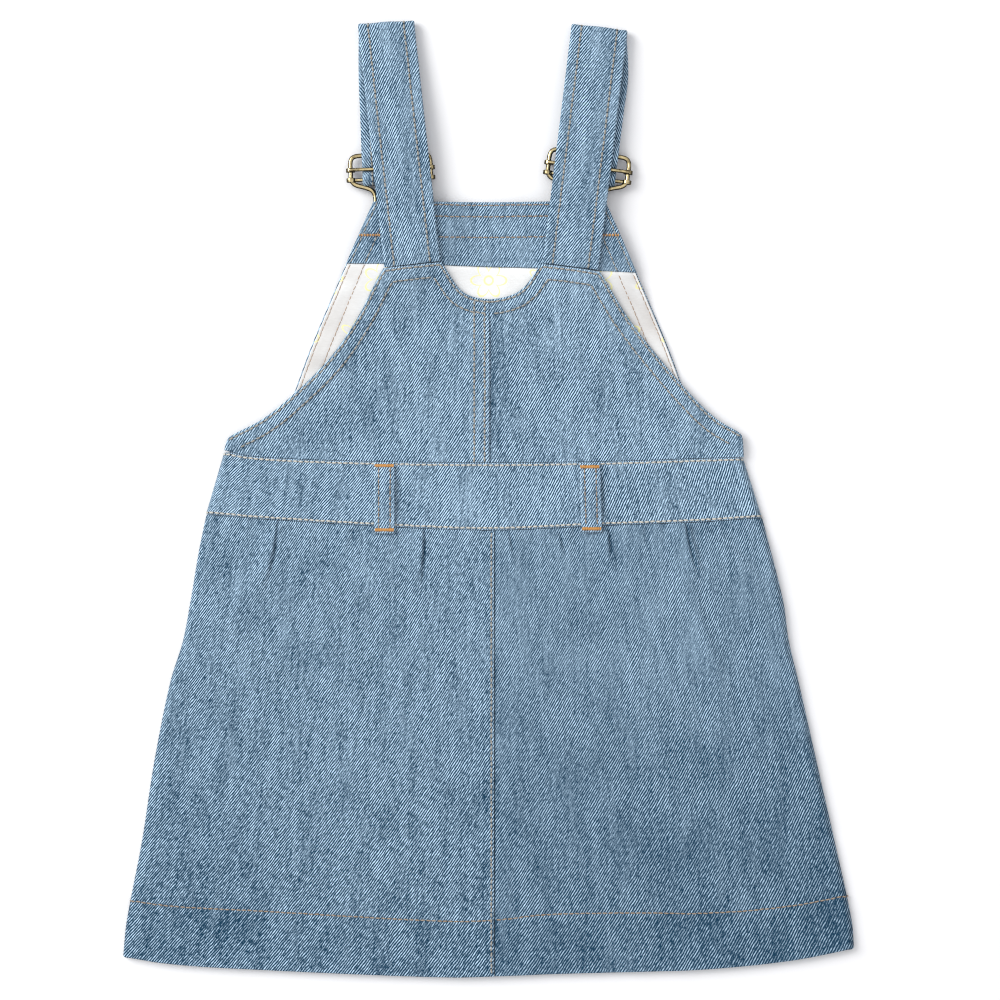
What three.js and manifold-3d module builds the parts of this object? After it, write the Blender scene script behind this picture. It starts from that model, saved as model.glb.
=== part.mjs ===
// A toddler's denim pinafore dress, laid flat on the floor with its back up.
//
// Units are millimetres. The origin is on the floor, under the middle of the dress. Looking down on the
// back, +X is to the right, +Y runs from the hem towards the shoulder straps, and +Z is up. "Left" and
// "right" are those of someone looking down on it.
//
// From the floor up lie the front skirt, front waistband and front bib, the facing and lining inside the
// bib, and then the back bodice, back waistband and back skirt. The back pieces roll down to the floor at
// the sides, where the side seams are. The straps rise from the back bodice, fold over at the top, and come
// back on the floor side to wire buckles, which hook on two buttons under the bib.

import * as THREE from 'three';
import { mergeVertices } from 'three/addons/utils/BufferGeometryUtils.js';
import Module from 'manifold-3d';

const wasm = await Module();
wasm.setup();

// Cloth

const SEAM_GAP = 0.3; // between pieces that are sewn together
const DENIM = 1.0; // one layer of denim
const BAND_THICKNESS = 2.2; // a waistband, with its turnings
const HEM_THICKNESS = 2.0; // a turned-up hem
const HEM_DEPTH = 29;
const SIDE_ROLL = 4.0; // radius at which a back piece turns down at a side seam
const ROLL_ANGLES = [0, 30, 60]; // degrees, between the floor and the flat part
const FRONT_INSET = 3.1; // how far a front panel ends inside the side seam

// Heights of the layers, above the floor or above the bump over the buttons

const BACK_BAND_TOP = 5.0;
const BACK_SKIRT_TOP = { waist: 4.2, hip: 5.2, middle: 4.9, hem: 5.4 };
const HIP_DOWN = 25; // millimetres below the waistband
const MIDDLE_DOWN = { from: 30, to: 110 };
const SKIRT_SEAM_RISE = { height: 0.7, width: 5 }; // of the left panel, lapped over the right one
const FRONT_HEM_RISE = 1.2;
const FRONT_HEM_SHARE = 0.997; // the front hem ends a little above the back hem
const BIB_TOP = DENIM;
const FACING = { under: BIB_TOP + SEAM_GAP, thickness: 1.4 };
const LINING = { under: BIB_TOP + SEAM_GAP, thickness: 1.0 };
const BODICE = { under: 3.1, margin: 2.0, marginWidth: 8, seamWidth: 6.5, seamRise: 0.8 };
const EDGE_STEP = 1.2; // half the run over which a turned edge drops to one layer
const BUMP = { height: 5.6, y: 143, flatRadius: 16, slope: 44 };

// Plan outline of the tube of the dress, from the waistband's upper edge to the hem

const SIDES = [
  { y: 25, left: -138.5, right: 133 },
  { y: 10, left: -143.5, right: 138 },
  { y: -22, left: -151, right: 146.5 },
  { y: -54, left: -156.5, right: 154.5 },
  { y: -75, left: -160.5, right: 157.5 },
  { y: -96, left: -167, right: 162.5 },
  { y: -138, left: -175.5, right: 172 },
  { y: -180, left: -182, right: 181.5 },
  { y: -222, left: -190, right: 190.5 },
  { y: -240, left: -191.8, right: 191.8 },
];
const WAIST = [
  { x: -147, upper: 27, lower: -8.5 },
  { x: -130, upper: 21.8, lower: -10 },
  { x: -110, upper: 19.6, lower: -11.5 },
  { x: -60, upper: 17.7, lower: -14.5 },
  { x: 0, upper: 17, lower: -16.8 },
  { x: 60, upper: 17.8, lower: -14.3 },
  { x: 110, upper: 19.5, lower: -12.5 },
  { x: 142, upper: 21, lower: -10.3 },
];
const WAIST_CORNER = { upper: 23, lower: -10 };
const HEM = {
  lowest: -251,
  corner: -238,
  halfWidth: 191.5,
  leftRise: 11.5,
  leftPower: 2.8,
  rightRise: 15.7,
  rightPower: 2.4,
};
const SKIRT_SEAM_X = 3.3;
const BODICE_SEAM_X = 0.6;

// Gathers and soft folds of the back skirt. x and y are where a fold starts, lean is its sideways run for
// each millimetre down, and left and right are how wide its two flanks are. A trough has a height below 0.

const BACK_FOLDS = [
  { x: -110, y: -12.4, lean: -0.255, length: 40, height: 2.6, left: 9, right: 2.2 },
  { x: -34.7, y: -16.2, lean: -0.04, length: 34, height: 2.4, left: 8, right: 2 },
  { x: 9.1, y: -18.3, lean: 0.29, length: 20, height: 1.3, left: 4, right: 2 },
  { x: 34.3, y: -17.3, lean: 0.33, length: 18, height: 1.0, left: 5, right: 3 },
  { x: 61.9, y: -16.2, lean: 0.16, length: 24, height: 2.2, left: 7, right: 1.8 },
  { x: 103.6, y: -13.4, lean: 0.23, length: 36, height: 2.3, left: 8, right: 2.2 },
  { x: 116.7, y: -17.3, lean: 0.95, length: 30, height: 1.4, left: 7, right: 4 },
  { x: -58, y: -50, lean: -0.03, length: 85, height: -0.8, left: 9, right: 9 },
  { x: 102.5, y: -38, lean: 0.31, length: 95, height: 1.2, left: 7, right: 4 },
  { x: 49.5, y: -62, lean: 0.17, length: 60, height: 0.8, left: 8, right: 8 },
  { x: 69.8, y: -118, lean: 0.24, length: 85, height: -0.9, left: 9, right: 9 },
  { x: -116, y: -34, lean: -0.58, length: 42, height: 1.0, left: 8, right: 8 },
  { x: -85, y: -36, lean: -0.1, length: 90, height: 0.6, left: 16, right: 16 },
  { x: 25, y: -36, lean: 0.05, length: 130, height: 0.5, left: 14, right: 14 },
];
const FRONT_FOLDS = [
  { x: -96, y: -14, lean: -0.2, length: 60, height: 1.5, left: 7, right: 5 },
  { x: -41, y: -17, lean: -0.08, length: 46, height: 1.7, left: 6, right: 8 },
  { x: 18, y: -18, lean: 0.06, length: 70, height: 1.3, left: 8, right: 6 },
  { x: 79, y: -16, lean: 0.16, length: 52, height: 1.6, left: 5, right: 8 },
];
const FOLD_START = 0.14; // share of a fold's length in which it rises at the waist
const FOLD_FADE = 0.45; // share of its length after which it dies away
const GATHER_Y = -20; // a fold that starts above this is a gather from the waist seam

// Back bodice outlines: armholes and neck from top to bottom, tops from the outer end inwards. An armhole
// ends at the waistband, at waistX.

const BODICE_LEFT = {
  armhole: [
    [-55, 120.3], [-58.1, 114.5], [-69.2, 93.5], [-83.9, 72.5], [-105.4, 51.5], [-119, 41], [-134.6, 32.8],
    [-136.7, 30.8],
  ],
  waistX: -138.5,
  top: [[-55, 120.3], [-48, 121.8], [-34, 123.2], [-22.8, 123.2]],
  neck: [[-22.8, 123.2], [-19.8, 116.2], [-16.2, 110.8], [-11.9, 107.2], [-6.3, 105.2], [0.5, 104]],
};
const BODICE_RIGHT = {
  armhole: [
    [57.9, 118.4], [60.5, 114.5], [73.6, 93.5], [89.9, 72.5], [108.3, 51.5], [119.8, 41], [130.6, 34.6],
    [132.6, 32.4],
  ],
  waistX: 133.6,
  top: [[57.9, 118.4], [50, 121.6], [38, 123], [26.9, 123.6]],
  neck: [[26.9, 123.6], [23.1, 117], [18.8, 110.7], [14, 107.2], [7.5, 105], [0.5, 104]],
};
const BODICE_TOP_SHARE = 0.5; // share of the columns that end at the top edge; the rest end at the neck

// Front bib, facing and lining

const BIB = [
  { y: 20, half: 114.5 },
  { y: 77, half: 94.4 },
  { y: 123.5, half: 74.6 },
  { y: 155, half: 60.6 },
];
const BIB_CENTRE_X = 0.4;
const BIB_TOP_Y = 154.9;
const FACING_EDGE = [
  { x: -75, y: 123.5 },
  { x: 0, y: 122 },
  { x: 75, y: 118.8 },
];
const LINING_INSET = 0.7;

// Belt loops

const LOOPS = [
  { name: 'belt_loop_left', top: [-54.5, 19], bottom: [-54.5, -18.6] },
  { name: 'belt_loop_right', top: [52.9, 18.4], bottom: [53.9, -18] },
];
const LOOP = { width: 10.9, thickness: 1.4, arch: 0.9 };

// Shoulder straps: base is where a strap leaves the bodice, fold its outermost line at the top, and buckle
// the place of the buckle's upper bar. Angles, in degrees, turn the strap's width from the X axis.

const STRAP = { width: 29.5, thickness: 2.0, columns: 3, overBib: 4.4, foldRadius: 2.2 };
const BIB_TO_BACK_RUN = { from: 150, to: 166 }; // where a strap stops following the bib, by y
const STRAPS = [
  {
    side: 'left',
    base: { x: -39.8, y: 123.1, angle: 6.2 },
    fold: { x: -53.7, y: 249.7, angle: 5 },
    buckle: { x: -51.4, y: 172.3, angle: 2.4 },
  },
  {
    side: 'right',
    base: { x: 42.9, y: 122.9, angle: -7 },
    fold: { x: 58.1, y: 246.6, angle: -7 },
    buckle: { x: 52.2, y: 173, angle: -7.2 },
  },
];
const BACK_RUN = [
  { y: 158, z: 10 },
  { y: 171, z: 9.6 },
  { y: 186, z: 9.3 },
  { y: 202, z: 8.6 },
  { y: 224, z: 7 },
  { y: 243, z: 5.5 },
];
const BACK_RUN_SHARES = [0, 0.07, 0.14, 0.21, 0.28, 0.36, 0.46, 0.57, 0.68, 0.79, 0.9];
const FOLD_STEPS = 6;

// The strap's end: over the frame, under the upper bar, round the lower bar and back along the floor side.
// along is measured from the upper bar towards the fold, and z is the middle of the strap.

const STRAP_END = [
  { along: 50, z: 1.2 }, { along: 31, z: 3.6 }, { along: 16, z: 4.6 }, { along: 11, z: 6.3 },
  { along: 8.5, z: 6.65 }, { along: 6.3, z: 6.6 }, { along: 3.8, z: 5.7 }, { along: 1.6, z: 4.4 },
  { along: 0, z: 4 }, { along: -1.2, z: 4.15 }, { along: -2.3, z: 4.9 }, { along: -3.3, z: 5.9 },
  { along: -4.6, z: 6.5 }, { along: -5.8, z: 6.45 }, { along: -6.9, z: 5.7 }, { along: -7.5, z: 4.5 },
  { along: -7.3, z: 3.2 }, { along: -6.4, z: 2.1 }, { along: -4.6, z: 1.6 }, { along: 0, z: 1.4 },
  { along: 7, z: 1.3 }, { along: 20, z: 1.2 }, { along: 30, z: 1.2 },
];

// Buckles and buttons, in the buckle's own frame: x across, y towards the fold, from the upper bar

const WIRE = { radius: 1.2, z: 4.1, sides: 8, steps: 52 };
const FRAME_HALF = [
  [0.2, 7.4], [9, 7.4], [17.4, 7.4], [19.9, 6.4], [20.9, 3.9], [20.9, -0.5], [20.9, -6.4], [18.8, -9.2],
  [13.4, -11], [10.8, -12.8], [10.1, -15], [11.3, -17.3], [11.7, -20.5], [9, -27], [5.6, -31], [4.5, -34.2],
  [4.5, -37], [3.2, -40.2], [0, -41.5],
];
const FRAME_SIDE_X = 20.9;
const BAR_RADIUS = 0.95;
const BARS = [
  { name: 'upper', y: 0, z: 6.55, half: 21.6 },
  { name: 'lower', y: -5.2, z: WIRE.z, half: 19 },
];
const SLEEVE = { inner: 1.5, outer: 2.4, half: 1.1, sides: 12 };
const BUTTON = { y: -36.9, sides: 18 };
const BUTTON_PROFILE = [
  [0, 0], [6.9, 0], [7.5, 0.6], [7.5, 1.7], [6.6, 2.6], [2.8, 2.6], [2.8, 5.3], [0, 5.3],
];

// Grid steps. Insets are millimetres from an edge, and the rest is shared out evenly.

const SKIRT_WAIST_INSETS = [0, 3, 7, 12, 19, 28, 40, 54];
const SKIRT_HEM_INSETS = [31, 28, 14, 0];
const SKIRT_LENGTH = 234;
const SKIRT_MIDDLE_ROWS = 5;
const SKIRT_COLUMN_STEP = 12;
const CLOSEST_COLUMNS = 2;
const SEAM_COLUMNS = [1.2, 7]; // millimetres from the centre seam
const FOLD_FOOT = 1.4; // where a gather's right flank ends, as a share of its width
const FRONT_SKIRT_COLUMNS = 22;
const FRONT_SKIRT_ROWS = 11;
const BAND_COLUMNS = 44;
const BAND_ROWS = 2;
const BODICE_COLUMNS = 12;
const BODICE_ROWS = 16;
const BIB_COLUMNS = 20;
const BIB_ROWS_BELOW_FACING = 9;
const BIB_ROWS_AT_FACING = 4;
const LOOP_ROWS = 8;

// Materials

const denim = new THREE.MeshStandardMaterial({ color: 0x7b97ad, roughness: 0.9, metalness: 0 });
const cotton = new THREE.MeshStandardMaterial({ color: 0xf3f4f2, roughness: 0.85, metalness: 0 });
const brass = new THREE.MeshStandardMaterial({ color: 0x8c7248, roughness: 0.4, metalness: 1 });

// Small sums

const mix = (from, to, share) => from + (to - from) * share;
const clamp = (value) => Math.min(Math.max(value, 0), 1);
const radians = (degrees) => degrees * Math.PI / 180;
const evenly = (count) => Array.from({ length: count + 1 }, (_, step) => step / count);

function ramp(from, to, value) {
  const share = clamp((value - from) / (to - from));
  return share * share * (3 - 2 * share);
}

// Reads a column of a table at any place of its key column, on a smooth curve through the rows.
function read(rows, key, column, at) {
  const last = rows.length - 1;
  const rising = Math.sign(rows[last][key] - rows[0][key]);
  let next = 1;
  while (next < last && rising * (at - rows[next][key]) > 0) next += 1;
  const slope = (row) => {
    const before = rows[Math.max(row - 1, 0)];
    const after = rows[Math.min(row + 1, last)];
    return (after[column] - before[column]) / (after[key] - before[key]);
  };
  const [from, to] = [rows[next - 1], rows[next]];
  const step = to[key] - from[key];
  const t = clamp((at - from[key]) / step);
  const ease = t * t * (3 - 2 * t);
  const leave = t * (1 - t) * (1 - t) * step * slope(next - 1);
  const arrive = t * t * (t - 1) * step * slope(next);
  return mix(from[column], to[column], ease) + leave + arrive;
}

// A smooth curve through a few points. Share 0 is its first point and share 1 its last.
function curve(points) {
  let run = 0;
  const rows = points.map(([x, y], place) => {
    const [lastX, lastY] = points[Math.max(place - 1, 0)];
    run += Math.hypot(x - lastX, y - lastY);
    return { run, x, y };
  });
  return (share) => ({ x: read(rows, 'run', 'x', share * run), y: read(rows, 'run', 'y', share * run) });
}

// Distance in plan from a point to a curve, found at even steps along it.
function distanceTo(line, x, y) {
  const steps = evenly(40).map((share) => line(share));
  return Math.min(...steps.map((point) => Math.hypot(point.x - x, point.y - y)));
}

// Solids

function solid(name, geometry, material) {
  const mesh = new THREE.Mesh(geometry, material);
  mesh.name = name;
  return mesh;
}

function signedVolume(positions, faces) {
  const corner = (index) => new THREE.Vector3().fromArray(positions, 3 * index);
  let volume = 0;
  for (let face = 0; face < faces.length; face += 3) {
    const [a, b, c] = [corner(faces[face]), corner(faces[face + 1]), corner(faces[face + 2])];
    volume += a.dot(b.cross(c)) / 6;
  }
  return volume;
}

// A closed wall from a grid of places. Each place has a point on the wall's over side and one on its under
// side, and the rim joins the two sides all round.
function wall(name, grid, material) {
  const rows = grid.length;
  const columns = grid[0].length;
  const places = grid.flat();
  const positions = [...places.map((place) => place.over), ...places.map((place) => place.under)].flat();
  const under = places.length;
  const faces = [];
  const square = (a, b, c, d) => faces.push(a, b, c, a, c, d);
  const index = (row, column) => row * columns + column;
  for (let row = 0; row < rows - 1; row += 1) {
    for (let column = 0; column < columns - 1; column += 1) {
      const ring = [
        index(row, column), index(row, column + 1), index(row + 1, column + 1), index(row + 1, column),
      ];
      square(...ring);
      square(...ring.map((point) => point + under).reverse());
    }
  }
  const rim = (from, to) => square(to, from, from + under, to + under);
  for (let column = 0; column < columns - 1; column += 1) {
    rim(index(0, column), index(0, column + 1));
    rim(index(rows - 1, column + 1), index(rows - 1, column));
  }
  for (let row = 0; row < rows - 1; row += 1) {
    rim(index(row + 1, 0), index(row, 0));
    rim(index(row, columns - 1), index(row + 1, columns - 1));
  }
  if (signedVolume(positions, faces) < 0) faces.reverse();
  const geometry = new THREE.BufferGeometry();
  geometry.setAttribute('position', new THREE.Float32BufferAttribute(positions, 3));
  geometry.setIndex(faces);
  return solid(name, geometry, material);
}

const layer = (x, y, top, thickness) => ({ over: [x, y, top], under: [x, y, top - thickness] });

// The places of a back piece where it turns down to the floor at a side. direction is -1 at the left.
function sideRoll(side, y, direction, top, thickness) {
  const place = (angle, radius) => [
    side - direction * (SIDE_ROLL - radius * Math.cos(radians(angle))),
    y,
    top - SIDE_ROLL + radius * Math.sin(radians(angle)),
  ];
  const inner = SIDE_ROLL - thickness;
  const floor = { over: [side, y, 0], under: [side - direction * thickness, y, 0] };
  const turned = ROLL_ANGLES.map((angle) => ({ over: place(angle, SIDE_ROLL), under: place(angle, inner) }));
  return [floor, ...turned];
}

// The tube of the dress

const sideAt = (y, direction) => read(SIDES, 'y', direction < 0 ? 'left' : 'right', y);
const waistUpper = (x) => read(WAIST, 'x', 'upper', x);
const waistLower = (x) => read(WAIST, 'x', 'lower', x);

function hemEdge(x) {
  const rise = x < 0 ? HEM.leftRise : HEM.rightRise;
  const power = x < 0 ? HEM.leftPower : HEM.rightPower;
  return HEM.lowest + rise * Math.abs(x / HEM.halfWidth) ** power;
}

// 1 in the turned-up hem, 0 above it, by the height above the hem's edge.
const hemShare = (up) => 1 - ramp(HEM_DEPTH - 1, HEM_DEPTH + 2, up);

// Plan place on a skirt. across runs from -1 at the left side to 1 at the right, and down from 0 at the
// waistband to 1 at the hem.
function skirtPlan(across, down, inset) {
  const direction = across < 0 ? -1 : 1;
  const xAt = (y) => mix(SKIRT_SEAM_X, sideAt(y, direction) - direction * inset, Math.abs(across));
  const top = waistLower(xAt(WAIST_CORNER.lower)) - SEAM_GAP;
  const bottom = hemEdge(xAt(HEM.corner));
  const y = mix(top, bottom, down);
  return { x: xAt(y), y };
}

function foldHeight(folds, x, y) {
  let height = 0;
  for (const fold of folds) {
    const share = (fold.y - y) / fold.length;
    const offset = x - (fold.x + fold.lean * (fold.y - y));
    const flank = offset < 0 ? fold.left : fold.right;
    const strength = ramp(0, FOLD_START, share) * (1 - ramp(FOLD_FADE, 1, share));
    height += fold.height * strength * Math.exp(-((offset / flank) ** 2));
  }
  return height;
}

// Top of the back skirt: it swells under the waistband, sinks a little, and rises at the turned-up hem.
function backSkirtTop(x, y) {
  const down = waistLower(x) - y;
  const up = y - hemEdge(x);
  const { waist, hip, middle, hem } = BACK_SKIRT_TOP;
  const swell = mix(waist, hip, ramp(0, HIP_DOWN, down));
  const body = mix(swell, middle, ramp(MIDDLE_DOWN.from, MIDDLE_DOWN.to, down));
  const seamShare = Math.exp(-(((x - SKIRT_SEAM_X) / SKIRT_SEAM_RISE.width) ** 2));
  const seam = x < SKIRT_SEAM_X ? SKIRT_SEAM_RISE.height * seamShare : 0;
  return mix(body, hem, hemShare(up)) + seam + foldHeight(BACK_FOLDS, x, y);
}

const backSkirtThickness = (x, y) => mix(DENIM, HEM_THICKNESS, hemShare(y - hemEdge(x)));

function skirtRows() {
  const waist = SKIRT_WAIST_INSETS.map((inset) => inset / SKIRT_LENGTH);
  const hem = SKIRT_HEM_INSETS.map((inset) => 1 - inset / SKIRT_LENGTH);
  const middle = evenly(SKIRT_MIDDLE_ROWS + 1).slice(1, -1);
  return [...waist, ...middle.map((share) => mix(waist[waist.length - 1], hem[0], share)), ...hem];
}

// Columns of a back skirt panel: on the crest and foot of each gather, and evenly between them.
function skirtColumns(direction) {
  const width = Math.abs(sideAt(-10, direction) - SKIRT_SEAM_X);
  const onPanel = (fold) => Math.sign(fold.x - SKIRT_SEAM_X) === direction;
  const gathers = BACK_FOLDS.filter((fold) => fold.y > GATHER_Y && onPanel(fold));
  const marks = gathers.flatMap((fold) => [fold.x - fold.left, fold.x, fold.x + FOLD_FOOT * fold.right]);
  const places = [...SEAM_COLUMNS, width - SIDE_ROLL, ...marks.map((x) => Math.abs(x - SKIRT_SEAM_X))];
  const kept = [0];
  for (const place of places.sort((a, b) => a - b)) {
    const gap = place - kept[kept.length - 1];
    const filler = Math.ceil(gap / SKIRT_COLUMN_STEP);
    for (let step = 1; step < filler; step += 1) kept.push(kept[kept.length - 1] + gap / filler);
    if (gap >= CLOSEST_COLUMNS || SEAM_COLUMNS.includes(place)) kept.push(place);
  }
  return kept.map((place) => place / (width - SIDE_ROLL));
}

function backSkirt(name, direction) {
  const columns = skirtColumns(direction);
  const grid = skirtRows().map((down) => {
    const flat = columns.map((share) => {
      const { x, y } = skirtPlan(direction * share, down, SIDE_ROLL);
      const seamSide = share === 0 ? x + direction * SEAM_GAP / 2 : x;
      return layer(seamSide, y, backSkirtTop(x, y), backSkirtThickness(x, y));
    });
    const [x, y, top] = flat[flat.length - 1].over;
    const roll = sideRoll(x + direction * SIDE_ROLL, y, direction, top, backSkirtThickness(x, y));
    return [...flat, ...roll.reverse()];
  });
  return wall(name, grid, denim);
}

function frontSkirt() {
  const grid = evenly(FRONT_SKIRT_ROWS).map((down) => evenly(FRONT_SKIRT_COLUMNS).map((share) => {
    const { x, y } = skirtPlan(2 * share - 1, FRONT_HEM_SHARE * down, FRONT_INSET);
    const hem = FRONT_HEM_RISE * hemShare(y - hemEdge(x));
    const top = DENIM + hem + foldHeight(FRONT_FOLDS, x, y);
    return layer(x, y, top, top);
  }));
  return wall('front_skirt', grid, denim);
}

// A waistband's plan place, from -1 at the left side to 1 at the right and from 0 at its lower edge to 1.
function bandPlan(across, up, inset) {
  const direction = across < 0 ? -1 : 1;
  const xAt = (y) => Math.abs(across) * (sideAt(y, direction) - direction * inset);
  const [low, high] = [xAt(WAIST_CORNER.lower), xAt(WAIST_CORNER.upper)];
  return { x: mix(low, high, up), y: mix(waistLower(low), waistUpper(high), up) };
}

function backWaistband() {
  const across = evenly(BAND_COLUMNS).map((share) => 2 * share - 1);
  const grid = evenly(BAND_ROWS).map((up) => {
    const flat = across.map((share) => {
      const { x, y } = bandPlan(share, up, SIDE_ROLL);
      return layer(x, y, BACK_BAND_TOP, BAND_THICKNESS);
    });
    const roll = (direction) => {
      const { x, y } = bandPlan(direction, up, SIDE_ROLL);
      return sideRoll(x + direction * SIDE_ROLL, y, direction, BACK_BAND_TOP, BAND_THICKNESS);
    };
    return [...roll(-1), ...flat, ...roll(1).reverse()];
  });
  return wall('back_waistband', grid, denim);
}

function frontWaistband() {
  const grid = evenly(BAND_ROWS).map((up) => evenly(BAND_COLUMNS).map((share) => {
    const { x, y } = bandPlan(2 * share - 1, up, FRONT_INSET);
    return layer(x, y, BAND_THICKNESS, BAND_THICKNESS);
  }));
  return wall('front_waistband', grid, denim);
}

// The bib and what lies inside it

// Height of the bump that the buckles and buttons make under the bib.
function bump(x, y) {
  const near = STRAPS.map((strap) => {
    const button = buckleToPlan(strap, 0, BUTTON.y);
    return 1 - ramp(BUMP.flatRadius, BUMP.flatRadius + BUMP.slope, Math.hypot(x - button.x, y - BUMP.y));
  });
  return BUMP.height * (near[0] + near[1]);
}

// Plan place on the bib, from -1 to 1 across. up runs from 0 at the waistband to 1 at the facing's lower
// edge and 2 at the top of the bib.
function bibPlan(across, up, inset) {
  const xAt = (y) => BIB_CENTRE_X + across * (read(BIB, 'y', 'half', y) - inset);
  const edge = read(FACING_EDGE, 'x', 'y', xAt(FACING_EDGE[1].y));
  const bottom = waistUpper(xAt(BIB[0].y)) + SEAM_GAP;
  const y = up < 1 ? mix(bottom, edge, up) : mix(edge, BIB_TOP_Y, up - 1);
  return { x: xAt(y), y };
}

const bibColumns = evenly(BIB_COLUMNS).map((share) => 2 * share - 1);
const rowsBelowFacing = evenly(BIB_ROWS_BELOW_FACING);
const rowsAtFacing = evenly(BIB_ROWS_AT_FACING).map((share) => 1 + share);

function bibLayer(name, rows, { under, thickness, inset = 0, shorten = 0 }, material) {
  const grid = rows.map((up) => bibColumns.map((across) => {
    const { x, y } = bibPlan(across, up, inset);
    const top = bump(x, y) + under + thickness;
    return layer(x, up === 1 ? y - shorten : y, top, thickness);
  }));
  return wall(name, grid, material);
}

function bib() {
  const allRows = [...rowsBelowFacing, ...rowsAtFacing.slice(1)];
  return [
    bibLayer('front_bib', allRows, { under: 0, thickness: BIB_TOP }, denim),
    bibLayer('bib_facing', rowsAtFacing, FACING, denim),
    bibLayer('bib_lining', rowsBelowFacing, { ...LINING, inset: LINING_INSET, shorten: SEAM_GAP }, cotton),
  ];
}

// Back bodice

function bodiceHalf(name, outline, direction) {
  const corner = outline.waistX;
  const armhole = curve([...outline.armhole, [corner, waistUpper(corner) + SEAM_GAP]]);
  const top = curve(outline.top);
  const neck = curve(outline.neck);
  const seamSide = BODICE_SEAM_X + direction * SEAM_GAP / 2;
  const upperEdge = (across) => (across < BODICE_TOP_SHARE
    ? top(across / BODICE_TOP_SHARE)
    : neck((across - BODICE_TOP_SHARE) / (1 - BODICE_TOP_SHARE)));
  const lowerEdge = (across) => {
    const x = mix(corner, seamSide, across);
    return { x, y: waistUpper(x) + SEAM_GAP };
  };
  const outerEdge = (down) => armhole(down);
  const seamEdge = (down) => ({ x: seamSide, y: mix(neck(1).y, lowerEdge(1).y, down) });
  const place = (across, down) => {
    const sides = [upperEdge(across), lowerEdge(across), outerEdge(down), seamEdge(down)];
    const corners = [upperEdge(0), upperEdge(1), lowerEdge(0), lowerEdge(1)];
    const blend = (axis) => {
      const [up, low, outer, seam] = sides.map((point) => point[axis]);
      const [upOuter, upSeam, lowOuter, lowSeam] = corners.map((point) => point[axis]);
      const bilinear = mix(mix(upOuter, upSeam, across), mix(lowOuter, lowSeam, across), down);
      return mix(up, low, down) + mix(outer, seam, across) - bilinear;
    };
    return { x: blend('x'), y: blend('y') };
  };
  const thickness = (x, y) => {
    const edge = Math.min(distanceTo(armhole, x, y), distanceTo(top, x, y), distanceTo(neck, x, y));
    const margin = 1 - ramp(BODICE.marginWidth - EDGE_STEP, BODICE.marginWidth + EDGE_STEP, edge);
    const seamShare = 1 - ramp(BODICE.seamWidth - EDGE_STEP, BODICE.seamWidth + EDGE_STEP, seamSide - x);
    const felled = direction < 0 ? seamShare : 0;
    return DENIM + Math.max((BODICE.margin - DENIM) * margin, BODICE.seamRise * felled);
  };
  const grid = evenly(BODICE_ROWS).map((down) => evenly(BODICE_COLUMNS).map((across) => {
    const { x, y } = place(across, down);
    const depth = thickness(x, y);
    return layer(x, y, BODICE.under + bump(x, y) + depth, depth);
  }));
  return wall(name, grid, denim);
}

// Belt loops lie over the waistband, and their ends over the bodice and the skirt.
function beltLoop({ name, top, bottom }) {
  const grid = evenly(LOOP_ROWS).map((down) => [-0.5, 0, 0.5].map((across) => {
    const x = mix(top[0], bottom[0], down) + across * LOOP.width;
    const y = mix(top[1], bottom[1], down);
    const under = Math.max(BACK_BAND_TOP, backSkirtTop(x, Math.min(y, waistLower(x)))) + SEAM_GAP;
    const arch = LOOP.arch * Math.sin(Math.PI * down);
    return layer(x, y, under + arch + LOOP.thickness, LOOP.thickness);
  }));
  return wall(name, grid, denim);
}

// Straps

const forward = (angle) => new THREE.Vector3(-Math.sin(radians(angle)), Math.cos(radians(angle)), 0);
const widthway = (angle) => new THREE.Vector3(Math.cos(radians(angle)), Math.sin(radians(angle)), 0);

function buckleToPlan({ buckle }, across, along) {
  const place = new THREE.Vector3(buckle.x, buckle.y, 0);
  return place.addScaledVector(widthway(buckle.angle), across).addScaledVector(forward(buckle.angle), along);
}

function overBibHeight(x, y) {
  const leave = ramp(BIB_TO_BACK_RUN.from, BIB_TO_BACK_RUN.to, y);
  return mix(bump(x, y) + STRAP.overBib, read(BACK_RUN, 'y', 'z', y), leave);
}

// The strap's middle line as stations: a plan place, a width angle, and a height or a height function.
function strapStations(strap) {
  const { base, fold, buckle } = strap;
  const outer = STRAP.foldRadius + STRAP.thickness / 2;
  const axis = new THREE.Vector3(fold.x, fold.y, 0).addScaledVector(forward(fold.angle), -outer);
  const back = BACK_RUN_SHARES.map((share) => ({
    x: mix(base.x, axis.x, share),
    y: mix(base.y, axis.y, share),
    angle: mix(base.angle, fold.angle, share),
    height: overBibHeight,
  }));
  const turn = evenly(FOLD_STEPS).map((share) => {
    const ahead = STRAP.foldRadius * Math.sin(Math.PI * share);
    const place = axis.clone().addScaledVector(forward(fold.angle), ahead);
    const z = outer + STRAP.foldRadius * Math.cos(Math.PI * share);
    return { x: place.x, y: place.y, angle: fold.angle, height: () => z };
  });
  const end = STRAP_END.map(({ along, z }) => {
    const { x, y } = buckleToPlan(strap, 0, along);
    return { x, y, angle: buckle.angle, height: () => z };
  });
  return [...back, ...turn, ...end];
}

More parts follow.
